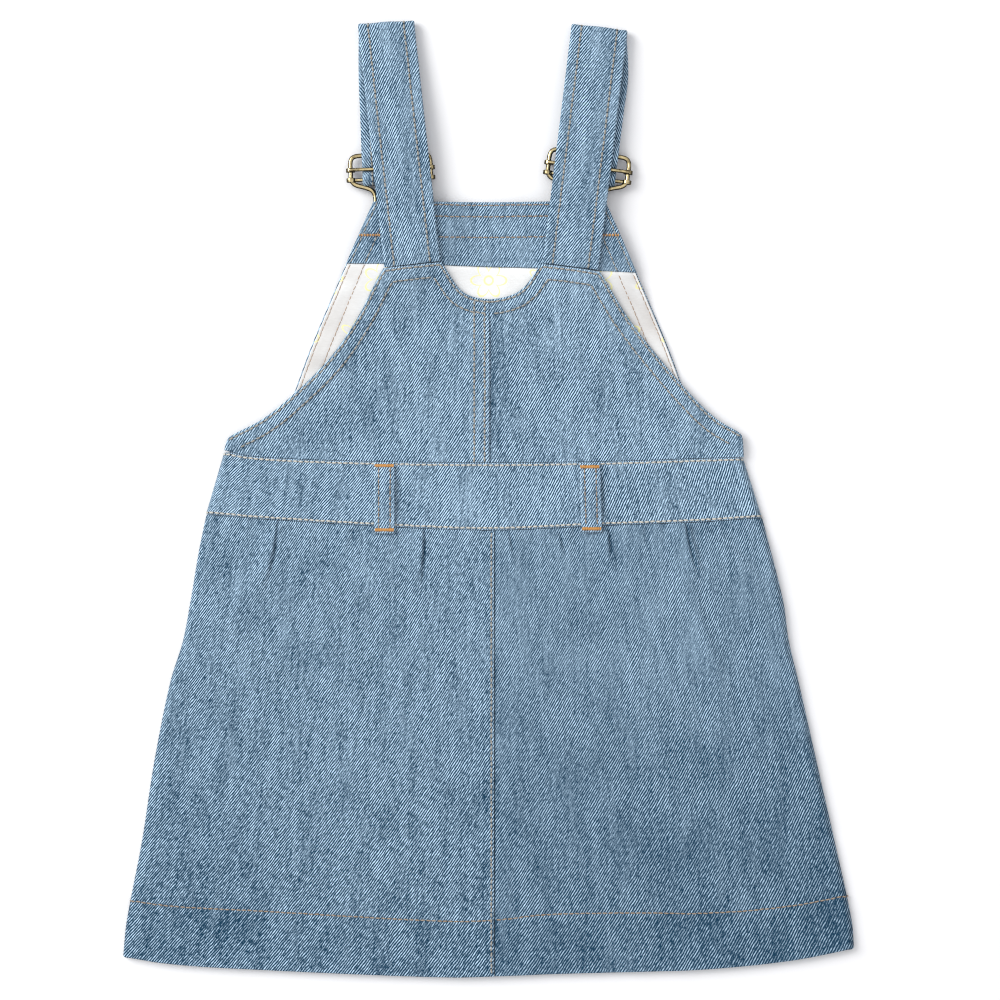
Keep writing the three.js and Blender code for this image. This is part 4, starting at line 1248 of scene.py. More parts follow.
def buckle_bar(side, bar_name, material):
    """A bar is a round rod whose ends are curled into sleeves round the frame's side wires."""
    bar = BARS[bar_name]
    deselect()
    bpy.ops.mesh.primitive_cylinder_add(
        vertices=20, radius=BAR_RADIUS * MM, depth=2 * bar["half"] * MM,
        location=(0, bar["y"] * MM, bar["z"] * MM), rotation=(0, math.pi / 2, 0),
    )
    rod = bpy.context.object
    rounded(rod, 0.3)
    parts = [rod]
    for direction in (-1, 1):
        deselect()
        bpy.ops.mesh.primitive_cylinder_add(
            vertices=28, radius=SLEEVE["outer"] * MM, depth=2 * SLEEVE["half"] * MM, end_fill_type="NOTHING",
            location=(direction * FRAME_SIDE_X * MM, bar["y"] * MM, WIRE_Z * MM), rotation=(math.pi / 2, 0, 0),
        )
        sleeve = bpy.context.object
        wall = sleeve.modifiers.new("Wall", "SOLIDIFY")
        wall.thickness = (SLEEVE["outer"] - SLEEVE["inner"]) * MM
        wall.offset = -1
        select_only(sleeve)
        bpy.ops.object.modifier_apply(modifier=wall.name)
        rounded(sleeve, 0.3)
        parts.append(sleeve)
    deselect()
    for part in parts:
        part.select_set(True)
    bpy.context.view_layer.objects.active = rod
    bpy.ops.object.join()
    rod.name = "buckle_" + bar_name + "_bar_" + side + "_rod"
    bpy.context.view_layer.update()
    settle(rod, side)
    return finish_piece(rod, material, "brass", "buckle_" + bar_name + "_bar_" + side)


def select_faces(piece, chosen):
    """In edit mode, selects the faces that a test picks by their middle and normal."""
    bpy.ops.mesh.select_mode(type="FACE")
    bpy.ops.mesh.select_all(action="DESELECT")
    bpy.ops.object.mode_set(mode="OBJECT")
    for face in piece.data.polygons:
        face.select = chosen(face.center, face.normal)
    bpy.ops.object.mode_set(mode="EDIT")


def bib_button(side, material):
    """The button under the bib: a dished head on the floor side and a shank up to the cloth."""
    deselect()
    thickness = BUTTON_HEAD["thickness"]
    bpy.ops.mesh.primitive_cylinder_add(
        vertices=36, radius=BUTTON_HEAD["radius"] * MM, depth=thickness * MM,
        location=(0, BUTTON_Y * MM, thickness / 2 * MM),
    )
    button = bpy.context.object
    bpy.ops.object.transform_apply(location=True, rotation=False, scale=False)
    bpy.ops.object.mode_set(mode="EDIT")
    select_faces(button, lambda centre, normal: normal.z > 0.9)
    bpy.ops.mesh.inset(thickness=(BUTTON_HEAD["radius"] - BUTTON_SHANK["radius"]) * MM)
    bpy.ops.mesh.extrude_region_move(TRANSFORM_OT_translate={"value": (0, 0, BUTTON_SHANK["height"] * MM)})
    select_faces(button, lambda centre, normal: normal.z < -0.9)
    bpy.ops.mesh.inset(thickness=1.4 * MM)
    bpy.ops.mesh.inset(thickness=0.5 * MM, depth=-BUTTON_HEAD["dish"] * MM)
    bpy.ops.object.mode_set(mode="OBJECT")
    rounded(button, BUTTON_HEAD["rim"] * 0.6)
    button.name = "bib_button_" + side + "_head"
    settle(button, side)
    return finish_piece(button, material, "brass", "bib_button_" + side)


# Materials


def add_node(tree, kind, inputs=None, **settings):
    """A node with its properties set, and its inputs linked or filled, by name or number."""
    made = tree.nodes.new(kind)
    for name, value in settings.items():
        setattr(made, name, value)
    for key, value in (inputs or {}).items():
        if isinstance(value, bpy.types.NodeSocket):
            tree.links.new(value, made.inputs[key])
        else:
            made.inputs[key].default_value = value
    return made


def sums(tree, operation, *values, clamp=False):
    made = add_node(tree, "ShaderNodeMath", dict(enumerate(values)), operation=operation, use_clamp=clamp)
    return made.outputs[0]


def blend_colours(tree, share, first, second, **settings):
    made = add_node(tree, "ShaderNodeMix", {0: share, 6: first, 7: second}, data_type="RGBA", **settings)
    return made.outputs[2]


def scaled(tree, vector, x, y, z=1.0):
    made = add_node(tree, "ShaderNodeVectorMath", {0: vector, 1: (x, y, z)}, operation="MULTIPLY")
    return made.outputs[0]


def uneven(tree, vector, x, y, detail=1.0):
    """Noise with bumps one over x wide and one over y long, from 0 to 1."""
    stretched = scaled(tree, vector, x, y)
    made = add_node(tree, "ShaderNodeTexNoise", {"Vector": stretched, "Scale": 1.0, "Detail": detail},
                    noise_dimensions="2D")
    return made.outputs["Fac"]


def new_group(name, inputs, outputs):
    """An empty shader node group with named sockets."""
    group = bpy.data.node_groups.new(name, "ShaderNodeTree")
    for direction, sockets in (("INPUT", inputs), ("OUTPUT", outputs)):
        for socket_name, kind, default in sockets:
            socket = group.interface.new_socket(socket_name, in_out=direction, socket_type="NodeSocket" + kind)
            if default is not None:
                socket.default_value = default
    return group, group.nodes.new("NodeGroupInput").outputs, group.nodes.new("NodeGroupOutput").inputs


def linear(colour):
    """Scene-linear value of a display colour given from 0 to 255."""
    share = np.array(colour, float) / 255
    low, high = share / 12.92, ((share + 0.055) / 1.055) ** 2.4
    return tuple(float(value) for value in np.where(share <= 0.04045, low, high)) + (1.0,)


def denim_group():
    """Washed denim: broken diagonal twill lines, uneven yarns, soft blotches, and wear with painted light and shade."""
    group, given, out = new_group(
        "Washed Denim",
        [
            ("Grain", "Vector", None), ("Wear And Shade", "Float", 0.5), ("Dark", "Color", None), ("Light", "Color", None),
            ("Contrast", "Float", 1.0), ("Tone", "Float", 0.0), ("Wear And Shade Strength", "Float", 0.3),
        ],
        [("Color", "Color", None), ("Height", "Float", None), ("Roughness", "Float", None)],
    )
    grain = given["Grain"]
    part = add_node(group, "ShaderNodeSeparateXYZ", {0: grain})
    u, v = part.outputs[0], part.outputs[1]
    turn = math.radians(TWILL_ANGLE)
    wobble = sums(group, "MULTIPLY", sums(group, "SUBTRACT", uneven(group, grain, 0.3, 0.1, 2), 0.5), 0.7)
    across_line = sums(
        group, "SUBTRACT", sums(group, "MULTIPLY", v, math.cos(turn)), sums(group, "MULTIPLY", u, math.sin(turn))
    )
    along_line = sums(
        group, "ADD", sums(group, "MULTIPLY", u, math.cos(turn)), sums(group, "MULTIPLY", v, math.sin(turn))
    )
    on_line = add_node(group, "ShaderNodeCombineXYZ", {0: across_line, 1: along_line}).outputs[0]
    phase = sums(group, "MULTIPLY", sums(group, "ADD", across_line, wobble), 2 * math.pi / TWILL_PITCH)
    line = sums(group, "SINE", phase)
    yarn = sums(group, "SINE", sums(group, "MULTIPLY", u, 2 * math.pi / YARN_PITCH))
    dash = sums(group, "SUBTRACT", uneven(group, on_line, 0.75, 0.4, 1), 0.5)
    slub = sums(group, "SUBTRACT", uneven(group, grain, 0.9, 0.05, 2), 0.5)
    speck = sums(group, "SUBTRACT", uneven(group, grain, 2.2, 1.2, 1), 0.5)
    fade = sums(group, "SUBTRACT", uneven(group, grain, 0.085, 0.03, 2), 0.5)
    streak = sums(group, "SUBTRACT", uneven(group, grain, 0.2, 0.04, 2), 0.5)
    blotch = sums(group, "SUBTRACT", uneven(group, grain, 0.055, 0.04, 3), 0.5)
    strength = sums(group, "MULTIPLY_ADD", dash, 2.8, 0.95)
    strength = sums(group, "MAXIMUM", sums(group, "MULTIPLY_ADD", fade, 2.6, strength), 0.15)
    pattern = sums(group, "MULTIPLY", sums(group, "MULTIPLY", line, strength), 0.8)
    pattern = sums(group, "MULTIPLY_ADD", dash, 1.0, pattern)
    pattern = sums(group, "MULTIPLY_ADD", slub, 0.6, pattern)
    pattern = sums(group, "MULTIPLY_ADD", speck, 1.25, pattern)
    pattern = sums(group, "MULTIPLY_ADD", streak, 0.55, pattern)
    pattern = sums(group, "MULTIPLY_ADD", yarn, 0.08, pattern)
    shade = sums(group, "MULTIPLY_ADD", pattern, given["Contrast"], 0.5)
    shade = sums(group, "MULTIPLY_ADD", blotch, 0.22, shade)
    # The wear-and-shade attribute lightens worn ridges and edges and darkens troughs and creases, where the darkening
    # is painted shade.
    wear_and_shade_shift = sums(group, "MULTIPLY", sums(group, "SUBTRACT", given["Wear And Shade"], 0.5), given["Wear And Shade Strength"])
    shade = sums(group, "ADD", sums(group, "ADD", shade, wear_and_shade_shift), given["Tone"])
    shade = sums(group, "MINIMUM", sums(group, "MAXIMUM", shade, 0.0), 1.6)
    colour = blend_colours(group, shade, given["Dark"], given["Light"], clamp_factor=False)
    group.links.new(colour, out["Color"])
    height = sums(group, "MULTIPLY_ADD", yarn, 0.1, sums(group, "MULTIPLY_ADD", line, 0.35, 0.5))
    group.links.new(sums(group, "MULTIPLY_ADD", dash, 0.4, height), out["Height"])
    group.links.new(sums(group, "MULTIPLY_ADD", line, -0.04, 0.88), out["Roughness"])
    return group


def cotton_group():
    """Plain woven cotton with a pale printed line pattern of daisies and stars, and painted shade in its creases."""
    group, given, out = new_group(
        "Printed Cotton",
        [
            ("Grain", "Vector", None), ("Wear And Shade", "Float", 0.5), ("Cloth", "Color", None), ("Shade", "Color", None),
            ("Print", "Color", None), ("Motif Spacing", "Float", 28.0), ("Line Width", "Float", 0.9),
        ],
        [("Color", "Color", None), ("Height", "Float", None)],
    )
    grain = given["Grain"]
    part = add_node(group, "ShaderNodeSeparateXYZ", {0: grain})
    u, v = part.outputs[0], part.outputs[1]
    spacing = given["Motif Spacing"]
    row_at = sums(group, "DIVIDE", sums(group, "SUBTRACT", v, 100.0), spacing)
    row = sums(group, "FLOOR", row_at)
    odd = sums(group, "ABSOLUTE", sums(group, "MODULO", row, 2.0))
    column_at = sums(group, "ADD", sums(group, "DIVIDE", u, spacing), sums(group, "MULTIPLY", odd, 0.5))
    column_at = sums(group, "ADD", column_at, 0.5)
    column = sums(group, "FLOOR", column_at)
    x = sums(group, "SUBTRACT", sums(group, "SUBTRACT", column_at, column), 0.5)
    y = sums(group, "SUBTRACT", sums(group, "SUBTRACT", row_at, row), 0.5)
    radius = sums(group, "SQRT", sums(group, "ADD", sums(group, "MULTIPLY", x, x), sums(group, "MULTIPLY", y, y)))
    angle = sums(group, "ADD", sums(group, "ARCTAN2", y, x), sums(group, "MULTIPLY", column, 1.3))
    star = sums(group, "ABSOLUTE", sums(group, "MODULO", sums(group, "ADD", column, row), 2.0))
    petals = sums(group, "ABSOLUTE", sums(group, "COSINE", sums(group, "MULTIPLY", angle, 3.0)))
    daisy_edge = sums(group, "MULTIPLY_ADD", petals, 0.16, 0.17)
    points = sums(group, "COSINE", sums(group, "MULTIPLY", angle, 5.0))
    star_edge = sums(group, "MULTIPLY_ADD", points, 0.075, 0.2)
    edge = sums(group, "ADD", sums(group, "MULTIPLY", sums(group, "SUBTRACT", star_edge, daisy_edge), star), daisy_edge)
    width = sums(group, "DIVIDE", given["Line Width"], sums(group, "MULTIPLY", spacing, 2.0))

    def line_at(place):
        away = sums(group, "ABSOLUTE", sums(group, "SUBTRACT", radius, place))
        return sums(group, "SUBTRACT", 1.5, sums(group, "DIVIDE", away, width), clamp=True)

    heart = sums(group, "MULTIPLY", line_at(0.08), sums(group, "SUBTRACT", 1.0, star))
    lines = sums(group, "MAXIMUM", line_at(edge), heart)
    ink = sums(group, "MULTIPLY", lines, sums(group, "MULTIPLY_ADD", uneven(group, grain, 1.8, 1.8, 1), 0.4, 0.65))
    warp = sums(group, "SINE", sums(group, "MULTIPLY", u, 2 * math.pi / 0.42))
    weft = sums(group, "SINE", sums(group, "MULTIPLY", v, 2 * math.pi / 0.46))
    weave = sums(group, "MULTIPLY", warp, weft)
    slub = uneven(group, grain, 0.3, 1.1, 2)
    grey = sums(group, "MULTIPLY_ADD", slub, 0.25, sums(group, "MULTIPLY_ADD", weave, 0.12, 0.15), clamp=True)
    # Painted shade: the cloth turns towards its Shade colour where the wear-and-shade attribute is low, in troughs and
    # towards the bib's sides.
    crease = sums(group, "SUBTRACT", 0.5, given["Wear And Shade"])
    grey = sums(group, "MULTIPLY_ADD", crease, 0.8, grey, clamp=True)
    cloth = blend_colours(group, grey, given["Cloth"], given["Shade"])
    group.links.new(blend_colours(group, ink, cloth, given["Print"]), out["Color"])
    group.links.new(sums(group, "MULTIPLY_ADD", slub, 0.6, sums(group, "MULTIPLY", weave, 0.4)), out["Height"])
    return group


def patina_group():
    """Aged metal: broad dark patches, small bright rubbed spots, and painted shade on its flanks."""
    group, given, out = new_group(
        "Metal Patina",
        [
            ("Place", "Vector", None), ("Metal", "Color", None), ("Patina And Shade", "Color", None), ("Bright", "Color", None),
            ("Patch Scale", "Float", 260.0),
        ],
        [("Color", "Color", None), ("Height", "Float", None), ("Roughness", "Float", None)],
    )
    patch = add_node(group, "ShaderNodeTexNoise",
                     {"Vector": given["Place"], "Scale": given["Patch Scale"], "Detail": 4.0}).outputs["Fac"]
    spots = add_node(group, "ShaderNodeTexNoise", {
        "Vector": given["Place"], "Scale": sums(group, "MULTIPLY", given["Patch Scale"], 5.0), "Detail": 2.0,
    }).outputs["Fac"]
    facing = add_node(group, "ShaderNodeSeparateXYZ", {0: add_node(group, "ShaderNodeNewGeometry").outputs[1]})
    # Painted shade on the flanks of the metal, where it faces sideways: it stands for dark reflections.
    flank = sums(group, "MULTIPLY_ADD", facing.outputs[2], -3.6, 3.3, clamp=True)
    patina_and_shade = sums(group, "MAXIMUM", sums(group, "MULTIPLY_ADD", patch, 3.0, -1.3, clamp=True), flank)
    bright = sums(group, "MULTIPLY_ADD", spots, 5.0, -2.9, clamp=True)
    colour = blend_colours(group, patina_and_shade, given["Metal"], given["Patina And Shade"])
    group.links.new(blend_colours(group, bright, colour, given["Bright"]), out["Color"])
    group.links.new(sums(group, "MULTIPLY_ADD", spots, 0.5, patch), out["Height"])
    group.links.new(sums(group, "MULTIPLY_ADD", patina_and_shade, 0.18, 0.2), out["Roughness"])
    return group


def thread_group():
    """Twisted thread: plies that wind round it, with painted shade between them, and painted shade at its ends where it
    dips into the cloth.
    """
    group, given, out = new_group(
        "Sewing Thread",
        [("Thread", "Vector", None), ("Fresh", "Color", None), ("Faded", "Color", None), ("Hole", "Color", None)],
        [("Color", "Color", None), ("Height", "Float", None)],
    )
    part = add_node(group, "ShaderNodeSeparateXYZ", {0: given["Thread"]})
    along, round_it, place = part.outputs
    turns = sums(group, "ADD", sums(group, "MULTIPLY", along, 14.0), round_it)
    ply = sums(group, "MULTIPLY_ADD", sums(group, "SINE", turns), 0.5, 0.5)
    spot = add_node(group, "ShaderNodeCombineXYZ", {0: place, 1: along})
    faded = sums(group, "MULTIPLY_ADD", uneven(group, spot.outputs[0], 0.35, 0.6, 2), 2.4, -0.7, clamp=True)
    colour = blend_colours(group, faded, given["Fresh"], given["Faded"])
    # Painted shade at both ends of a stitch and between its plies, in the Hole colour.
    end = sums(group, "MULTIPLY_ADD", sums(group, "ABSOLUTE", along), 8.0, -2.5, clamp=True)
    hole_shade = sums(group, "MAXIMUM", end, sums(group, "MULTIPLY", sums(group, "SUBTRACT", 1.0, ply), 0.25))
    group.links.new(blend_colours(group, hole_shade, colour, given["Hole"]), out["Color"])
    group.links.new(ply, out["Height"])
    return group


GROUPS = {}


def shared_group(maker):
    """The node group that a function makes, built once and shared by the materials."""
    if maker.__name__ not in GROUPS:
        GROUPS[maker.__name__] = maker()
    return GROUPS[maker.__name__]


def grouped_material(name, maker, inputs, coordinates, bump, roughness, **sockets):
    """A Principled material fed by a shared group, whose height goes through a Bump node."""
    material = bpy.data.materials.new(name)
    material.use_nodes = True
    tree = material.node_tree
    shader = tree.nodes["Principled BSDF"]
    effect = tree.nodes.new("ShaderNodeGroup")
    effect.node_tree = shared_group(maker)
    for socket, value in inputs.items():
        effect.inputs[socket].default_value = value
    for socket, (kind, attribute, output) in coordinates.items():
        source = tree.nodes.new(kind)
        if attribute:
            source.attribute_name = attribute
        tree.links.new(source.outputs[output], effect.inputs[socket])
    tree.links.new(effect.outputs["Color"], shader.inputs["Base Color"])
    relief = add_node(tree, "ShaderNodeBump", {"Strength": bump[0], "Distance": bump[1] * MM})
    tree.links.new(effect.outputs["Height"], relief.inputs["Height"])
    tree.links.new(relief.outputs["Normal"], shader.inputs["Normal"])
    if roughness is None:
        tree.links.new(effect.outputs["Roughness"], shader.inputs["Roughness"])
    else:
        shader.inputs["Roughness"].default_value = roughness
    for socket, value in sockets.items():
        shader.inputs[socket.replace("_", " ")].default_value = value
    return material


GRAIN = ("ShaderNodeAttribute", "grain", "Vector")
WEAR_AND_SHADE = ("ShaderNodeAttribute", "wear_and_shade", "Fac")


def denim_material(name, tone=0.0, contrast=1.0):
    settings = bpy.context.scene.pinafore_denim
    inputs = {
        "Dark": (*settings.dark, 1), "Light": (*settings.light, 1),
        "Contrast": settings.contrast * contrast, "Tone": settings.tone + tone, "Wear And Shade Strength": settings.wear_and_shade,
    }
    return grouped_material(
        name, denim_group, inputs, {"Grain": GRAIN, "Wear And Shade": WEAR_AND_SHADE}, (0.6, 0.12), None,
        Specular_IOR_Level=0.2, Sheen_Weight=0.08, Sheen_Roughness=0.5,
    )


def cotton_material(name):
    settings = bpy.context.scene.pinafore_lining
    inputs = {
        "Cloth": (*settings.cloth, 1), "Shade": (*settings.shade, 1), "Print": (*settings.print_colour, 1),
        "Motif Spacing": settings.motif_spacing / MM, "Line Width": settings.line_width / MM,
    }
    return grouped_material(
        name, cotton_group, inputs, {"Grain": GRAIN, "Wear And Shade": WEAR_AND_SHADE}, (0.4, 0.06), 0.85, Specular_IOR_Level=0.25,
    )


def brass_material(name):
    settings = bpy.context.scene.pinafore_brass
    inputs = {"Metal": (*settings.metal, 1), "Patina And Shade": (*settings.patina_and_shade, 1), "Bright": (*settings.bright, 1)}
    place = ("ShaderNodeTexCoord", None, "Object")
    return grouped_material(
        name, patina_group, inputs, {"Place": place}, (0.25, 0.05), None, Metallic=1.0,
    )


def thread_material(name, fresh, holes=1.0):
    settings = bpy.context.scene.pinafore_thread
    hole = [mix(value, dark, holes) for value, dark in zip(fresh, settings.hole)]
    faded = [mix(value, pale, settings.fading) for value, pale in zip(fresh, settings.pale)]
    inputs = {"Fresh": (*fresh, 1), "Faded": (*faded, 1), "Hole": (*hole, 1)}
    return grouped_material(
        name, thread_group, inputs, {"Thread": GRAIN}, (0.5, 0.06), 0.6, Specular_IOR_Level=0.4,
    )


# Settings


def colour_property(name, description, colour):
    return bpy.props.FloatVectorProperty(
        name=name, description=description, default=linear(colour)[:3], subtype="COLOR", size=3, min=0, max=1
    )


def length_property(name, description, default):
    return bpy.props.FloatProperty(
        name=name, description=description, default=default * MM, min=0.0001, unit="LENGTH", precision=5
    )


class PinaforeDenim(bpy.types.PropertyGroup):
    """Colours of the washed denim."""

    dark: colour_property("Dark", "Between the twill lines", (12, 54, 78))
    light: colour_property("Light", "Wear And Shade Strength tops of the twill lines", (156, 182, 202))
    contrast: bpy.props.FloatProperty(name="Contrast", description="Of the twill", default=1.0, min=0, max=3)
    tone: bpy.props.FloatProperty(name="Tone", description="Lightens the whole cloth", default=0.0, min=-1, max=1)
    # How far the wear-and-shade attribute moves the denim's colour: lighter on worn ridges and edges, darker in troughs
    # and creases as painted shade.
    wear_and_shade: bpy.props.FloatProperty(name="Wear And Shade", description="Lightens ridges and edges", default=0.5, min=0, max=1)


class PinaforeLining(bpy.types.PropertyGroup):
    """The white lining and its printed pattern."""

    cloth: colour_property("Cloth", "The cotton", (234, 236, 235))
    shade: colour_property("Shade", "The cotton in its creases", (196, 193, 189))
    print_colour: colour_property("Print", "The printed lines", (236, 230, 156))
    motif_spacing: length_property("Motif Spacing", "From one motif to the next", 28)
    line_width: length_property("Line Width", "Of the printed lines", 1.0)


class PinaforeBrass(bpy.types.PropertyGroup):
    """The buckles' metal."""

    metal: colour_property("Metal", "Antique brass", (200, 182, 136))
    # The dark patches of patina, and the painted shade on the flanks.
    patina_and_shade: colour_property("Patina And Shade", "Dark patches", (40, 32, 20))
    bright: colour_property("Bright", "Rubbed spots", (236, 224, 186))


class PinaforeThread(bpy.types.PropertyGroup):
    """Topstitching and bar tacks."""

    greyed: colour_property("Greyed", "Thread on the straps, bodice and skirt seam", (156, 152, 142))
    cream: colour_property("Cream", "Thread on the waistband", (206, 204, 194))
    tan: colour_property("Tan", "Thread on the hem, facing and belt loops", (150, 128, 106))
    brown: colour_property("Brown", "Thread on the lining", (176, 150, 128))
    pale: colour_property("Pale", "What faded thread turns to", (176, 180, 180))
    fading: bpy.props.FloatProperty(name="Fading", description="Of the thread", default=0.4, min=0, max=1)
    # Painted shade where a stitch dips into the cloth.
    hole: colour_property("Hole", "Where a stitch dips into the cloth", (44, 42, 44))
    tack: colour_property("Tack", "Bar tacks", (210, 146, 56))
    pitch: length_property("Pitch", "From one stitch to the next", 2.93)
    length: length_property("Length", "Of one stitch", 2.86)
    width: length_property("Width", "Of the thread", 0.85)
    height: length_property("Height", "Of the thread", 0.5)


class PinaforeStage(bpy.types.PropertyGroup):
    """Floor, light and camera."""

    floor: colour_property("Floor", "The floor's colour", (233, 233, 233))
    key: bpy.props.FloatProperty(name="Key", description="Power of the soft light", default=161, min=0, unit="POWER")
    ambient: bpy.props.FloatProperty(name="Ambient", description="Strength of the light overhead", default=0.9)
    lens: bpy.props.FloatProperty(name="Lens", description="Focal length", default=100, unit="CAMERA")


# Operators


class PINAFORE_OT_skirt(bpy.types.Operator):
    """Lay the front skirt panel and the two gathered back panels"""

    bl_idname = "pinafore.skirt"
    bl_label = "Skirt"

    def execute(self, context):
        denim = denim_material("denim_skirt", tone=-0.06, contrast=0.87)
        front_skirt(denim)
        back_skirt("left", denim)
        back_skirt("right", denim_material("denim_skirt_right", tone=-0.065, contrast=0.62))
        return {"FINISHED"}


class PINAFORE_OT_waistbands(bpy.types.Operator):
    """Lay the front and back waistbands"""

    bl_idname = "pinafore.waistbands"
    bl_label = "Waistbands"

    def execute(self, context):
        denim = denim_material("denim_waistband", tone=0.0, contrast=0.97)
        waistband("front_waistband", FRONT_INSET, lambda x, y: np.full(x.shape, BAND_THICKNESS), denim, False)
        waistband("back_waistband", SIDE_ROLL, band_top, denim, True)
        return {"FINISHED"}


class PINAFORE_OT_bib(bpy.types.Operator):
    """Lay the front bib with its facing and its printed lining"""

    bl_idname = "pinafore.bib"
    bl_label = "Bib"

    def execute(self, context):
        denim = denim_material("denim_bib", tone=-0.07, contrast=0.72)
        below = np.linspace(0, 1, int(105 / BIB_STEP))
        above = 1 + grid_lines(33, BIB_STEP)[1:] / 33
        bib_layer(
            "front_bib", np.concatenate([below, above]), BIB_STEP, 0,
            lambda x, y: bump(x, y) + DENIM, DENIM, denim,
        )
        facing = 1 + grid_lines(33, FACING_STEP, [(14, 17), (24, 27), (30, 33)]) / 33
        bib_layer("bib_facing", facing, FACING_STEP, 0, facing_top, FACING_THICKNESS, denim)
        rows = np.linspace(0, 0.999, int(105 / LINING_STEP))
        bib_layer(
            "bib_lining", rows, LINING_STEP, LINING_INSET, lining_top, LINING_THICKNESS,
            cotton_material("printed_lining"), "lining",
        )
        return {"FINISHED"}


class PINAFORE_OT_bodice(bpy.types.Operator):
    """Lay the two halves of the back bodice"""

    bl_idname = "pinafore.bodice"
    bl_label = "Back Bodice"

    def execute(self, context):
        denim = denim_material("denim_bodice", tone=0.005, contrast=0.94)
        for side in BODICES:
            bodice_half(side, denim)
        return {"FINISHED"}


class PINAFORE_OT_straps(bpy.types.Operator):
    """Fold the shoulder straps over and take them through their buckles"""

    bl_idname = "pinafore.straps"
    bl_label = "Shoulder Straps"

    def execute(self, context):
        denim = denim_material("denim_strap", tone=0.0, contrast=0.84)
        for side in STRAPS:
            strap(side, denim)
        return {"FINISHED"}


class PINAFORE_OT_belt_loops(bpy.types.Operator):
    """Lay the belt loops over the back waistband"""

    bl_idname = "pinafore.belt_loops"
    bl_label = "Belt Loops"

    def execute(self, context):
        denim = denim_material("denim_loop", tone=0.02, contrast=0.9)
        for side in LOOPS:
            belt_loop(side, denim)
        return {"FINISHED"}


class PINAFORE_OT_topstitching(bpy.types.Operator):
    """Sew the rows of topstitching over the laid pieces"""

    bl_idname = "pinafore.topstitching"
    bl_label = "Topstitching"

    def execute(self, context):
        settings = context.scene.pinafore_thread
        greyed = thread_material("greyed_thread", settings.greyed)
        cream = thread_material("cream_thread", settings.cream)
        tan = thread_material("tan_thread", settings.tan)
        brown = thread_material("brown_thread", settings.brown, holes=0.45)
        groups = {
            "hem_topstitching": (hem_rows(), tan, 1.0),
            "skirt_seam_topstitching": (skirt_seam_rows(), greyed, 1.15),
            "waistband_topstitching": (band_rows(), cream, 1.3),
            "bodice_topstitching_left": (bodice_rows("left"), greyed, 1.2),
            "bodice_topstitching_right": (bodice_rows("right"), greyed, 1.2),
            "facing_topstitching": (facing_rows(), tan, 0.9),
            "facing_side_topstitching": (bib_side_rows(facing_top, high=BIB_TOP_Y - 1), greyed, 0.8),
            "lining_topstitching": (bib_side_rows(lining_top, low=24), brown, 0.65),
            "strap_topstitching_left": (strap_rows("left"), greyed, 1.2),
            "strap_topstitching_right": (strap_rows("right"), greyed, 1.2),
            "loop_topstitching": (loop_rows("left") + loop_rows("right"), tan, 0.8),
        }
        for seed, (name, (rows, thread, thinner)) in enumerate(groups.items()):
            stitching(name, rows, thread, settings, 100 + seed, thinner)
        return {"FINISHED"}


class PINAFORE_OT_bar_tacks(bpy.types.Operator):
    """Sew the bar tacks at the ends of the belt loops and of the facing"""

    bl_idname = "pinafore.bar_tacks"
    bl_label = "Bar Tacks"

    def execute(self, context):
        settings = context.scene.pinafore_thread
        thread = thread_material("bar_tack_thread", settings.tack, holes=0.7)
        groups = {
            "loop_bar_tacks": (loop_tack_rows(), TACK["length"]),
            "side_bar_tacks": (side_tack_rows(), TACK["side_length"]),
        }
        for seed, (name, (rows, length)) in enumerate(groups.items()):
            points, faces, threads = sew(rows, length, length, 0.5, 0.5, 120 + seed, jitter=0)
            piece = new_mesh(name, points * MM, faces)
            set_attributes(piece, threads * (0.7, 1, 1), np.full(len(points), 0.5))
            finish_piece(piece, thread, "bar_tack")
        return {"FINISHED"}


class PINAFORE_OT_buckles(bpy.types.Operator):
    """Bend the wire buckles, curl their bars and turn the buttons"""

    bl_idname = "pinafore.buckles"
    bl_label = "Buckles and Buttons"

    def execute(self, context):
        brass = brass_material("antique_brass")
        for side in STRAPS:
            buckle_frame(side, brass)
            for bar_name in BARS:
                buckle_bar(side, bar_name, brass)
            bib_button(side, brass)
        return {"FINISHED"}


# Stage: x and y in millimetres of the point that the camera looks straight down on, and its height

CAMERA = {"x": 5.9, "y": -1.0, "height": 1458}
KEY_PLACE = (-3000, 1500, 2760)
KEY_SIZE = 2600
FLOOR_SIZE = 6000


def studio_world(ambient):
    """Soft light from overhead that fades towards the walls."""
    world = bpy.data.worlds.new("studio")
    world.use_nodes = True
    tree = world.node_tree
    direction = tree.nodes.new("ShaderNodeTexCoord").outputs["Generated"]
    upward = add_node(tree, "ShaderNodeSeparateXYZ", {0: direction}).outputs[2]
    fade = add_node(
        tree, "ShaderNodeMapRange", {"Value": upward, "From Min": 0.1, "From Max": 0.9, "To Min": 0.1, "To Max": 1.3},
        interpolation_type="SMOOTHSTEP",
    )
    background = tree.nodes["Background"]
    background.inputs["Color"].default_value = (0.97, 0.97, 1.0, 1)
    tree.links.new(sums(tree, "MULTIPLY", fade.outputs[0], ambient), background.inputs["Strength"])
    return world


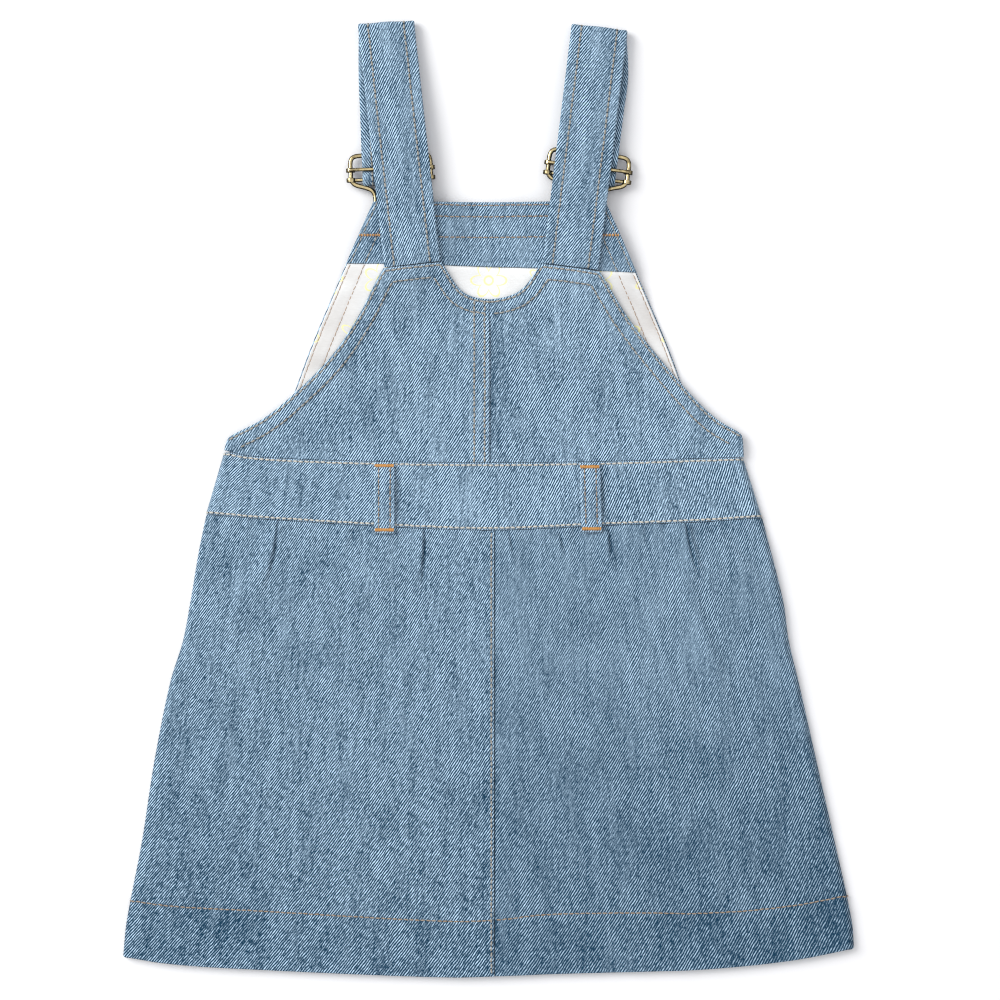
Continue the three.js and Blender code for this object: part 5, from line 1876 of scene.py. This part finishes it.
class PINAFORE_OT_stage(bpy.types.Operator):
    """Lay the floor and set the lights and the camera"""

    bl_idname = "pinafore.stage"
    bl_label = "Stage"

    def execute(self, context):
        settings = context.scene.pinafore_stage
        scene = context.scene
        deselect()
        bpy.ops.mesh.primitive_plane_add(size=FLOOR_SIZE * MM, location=(0, 0, -0.2 * MM))
        floor = context.object
        floor.name = "floor"
        paper = bpy.data.materials.new("studio_floor")
        paper.use_nodes = True
        shader = paper.node_tree.nodes["Principled BSDF"]
        shader.inputs["Base Color"].default_value = (*settings.floor, 1)
        shader.inputs["Roughness"].default_value = 1
        shader.inputs["Specular IOR Level"].default_value = 0
        floor.data.materials.append(paper)
        centre = Vector((CAMERA["x"] * MM, CAMERA["y"] * MM, 0))
        lamp = bpy.data.lights.new("key", "AREA")
        lamp.shape = "SQUARE"
        lamp.size = KEY_SIZE * MM
        lamp.energy = settings.key
        key = bpy.data.objects.new("key", lamp)
        scene.collection.objects.link(key)
        key.location = Vector(KEY_PLACE) * MM
        key.rotation_euler = (centre - key.location).to_track_quat("-Z", "Y").to_euler()
        scene.world = studio_world(settings.ambient)
        lens = bpy.data.cameras.new("camera")
        lens.lens = settings.lens
        lens.sensor_width = 36
        camera = bpy.data.objects.new("camera", lens)
        scene.collection.objects.link(camera)
        camera.location = centre + Vector((0, 0, CAMERA["height"] * MM))
        scene.camera = camera
        scene.view_settings.view_transform = "Standard"
        scene.cycles.denoising_prefilter = "NONE"
        scene.cycles.filter_width = 1.1
        return {"FINISHED"}


STEPS = (
    PINAFORE_OT_skirt, PINAFORE_OT_waistbands, PINAFORE_OT_bib, PINAFORE_OT_bodice, PINAFORE_OT_belt_loops,
    PINAFORE_OT_straps, PINAFORE_OT_buckles, PINAFORE_OT_topstitching, PINAFORE_OT_bar_tacks, PINAFORE_OT_stage,
)


class PINAFORE_PT_panel(bpy.types.Panel):
    """Lists the dress's pieces"""

    bl_idname = "PINAFORE_PT_panel"
    bl_label = "Denim Pinafore"
    bl_space_type = "VIEW_3D"
    bl_region_type = "UI"
    bl_category = "Pinafore"

    def draw(self, context):
        for step in STEPS:
            self.layout.operator(step.bl_idname)
        for name, group in SETTINGS.items():
            box = self.layout.box()
            box.label(text=group.__doc__)
            for setting in group.__annotations__:
                box.prop(getattr(context.scene, name), setting)


SETTINGS = {
    "pinafore_denim": PinaforeDenim,
    "pinafore_lining": PinaforeLining,
    "pinafore_brass": PinaforeBrass,
    "pinafore_thread": PinaforeThread,
    "pinafore_stage": PinaforeStage,
}


def register():
    for kind in (*SETTINGS.values(), *STEPS, PINAFORE_PT_panel):
        bpy.utils.register_class(kind)
    for name, group in SETTINGS.items():
        setattr(bpy.types.Scene, name, bpy.props.PointerProperty(type=group))


def unregister():
    for name in SETTINGS:
        delattr(bpy.types.Scene, name)
    for kind in reversed((*SETTINGS.values(), *STEPS, PINAFORE_PT_panel)):
        bpy.utils.unregister_class(kind)


def main():
    """Builds the whole dress on its stage."""
    register()
    for step in STEPS:
        area, name = step.bl_idname.split(".")
        getattr(getattr(bpy.ops, area), name)()


if __name__ == "__main__":
    main()
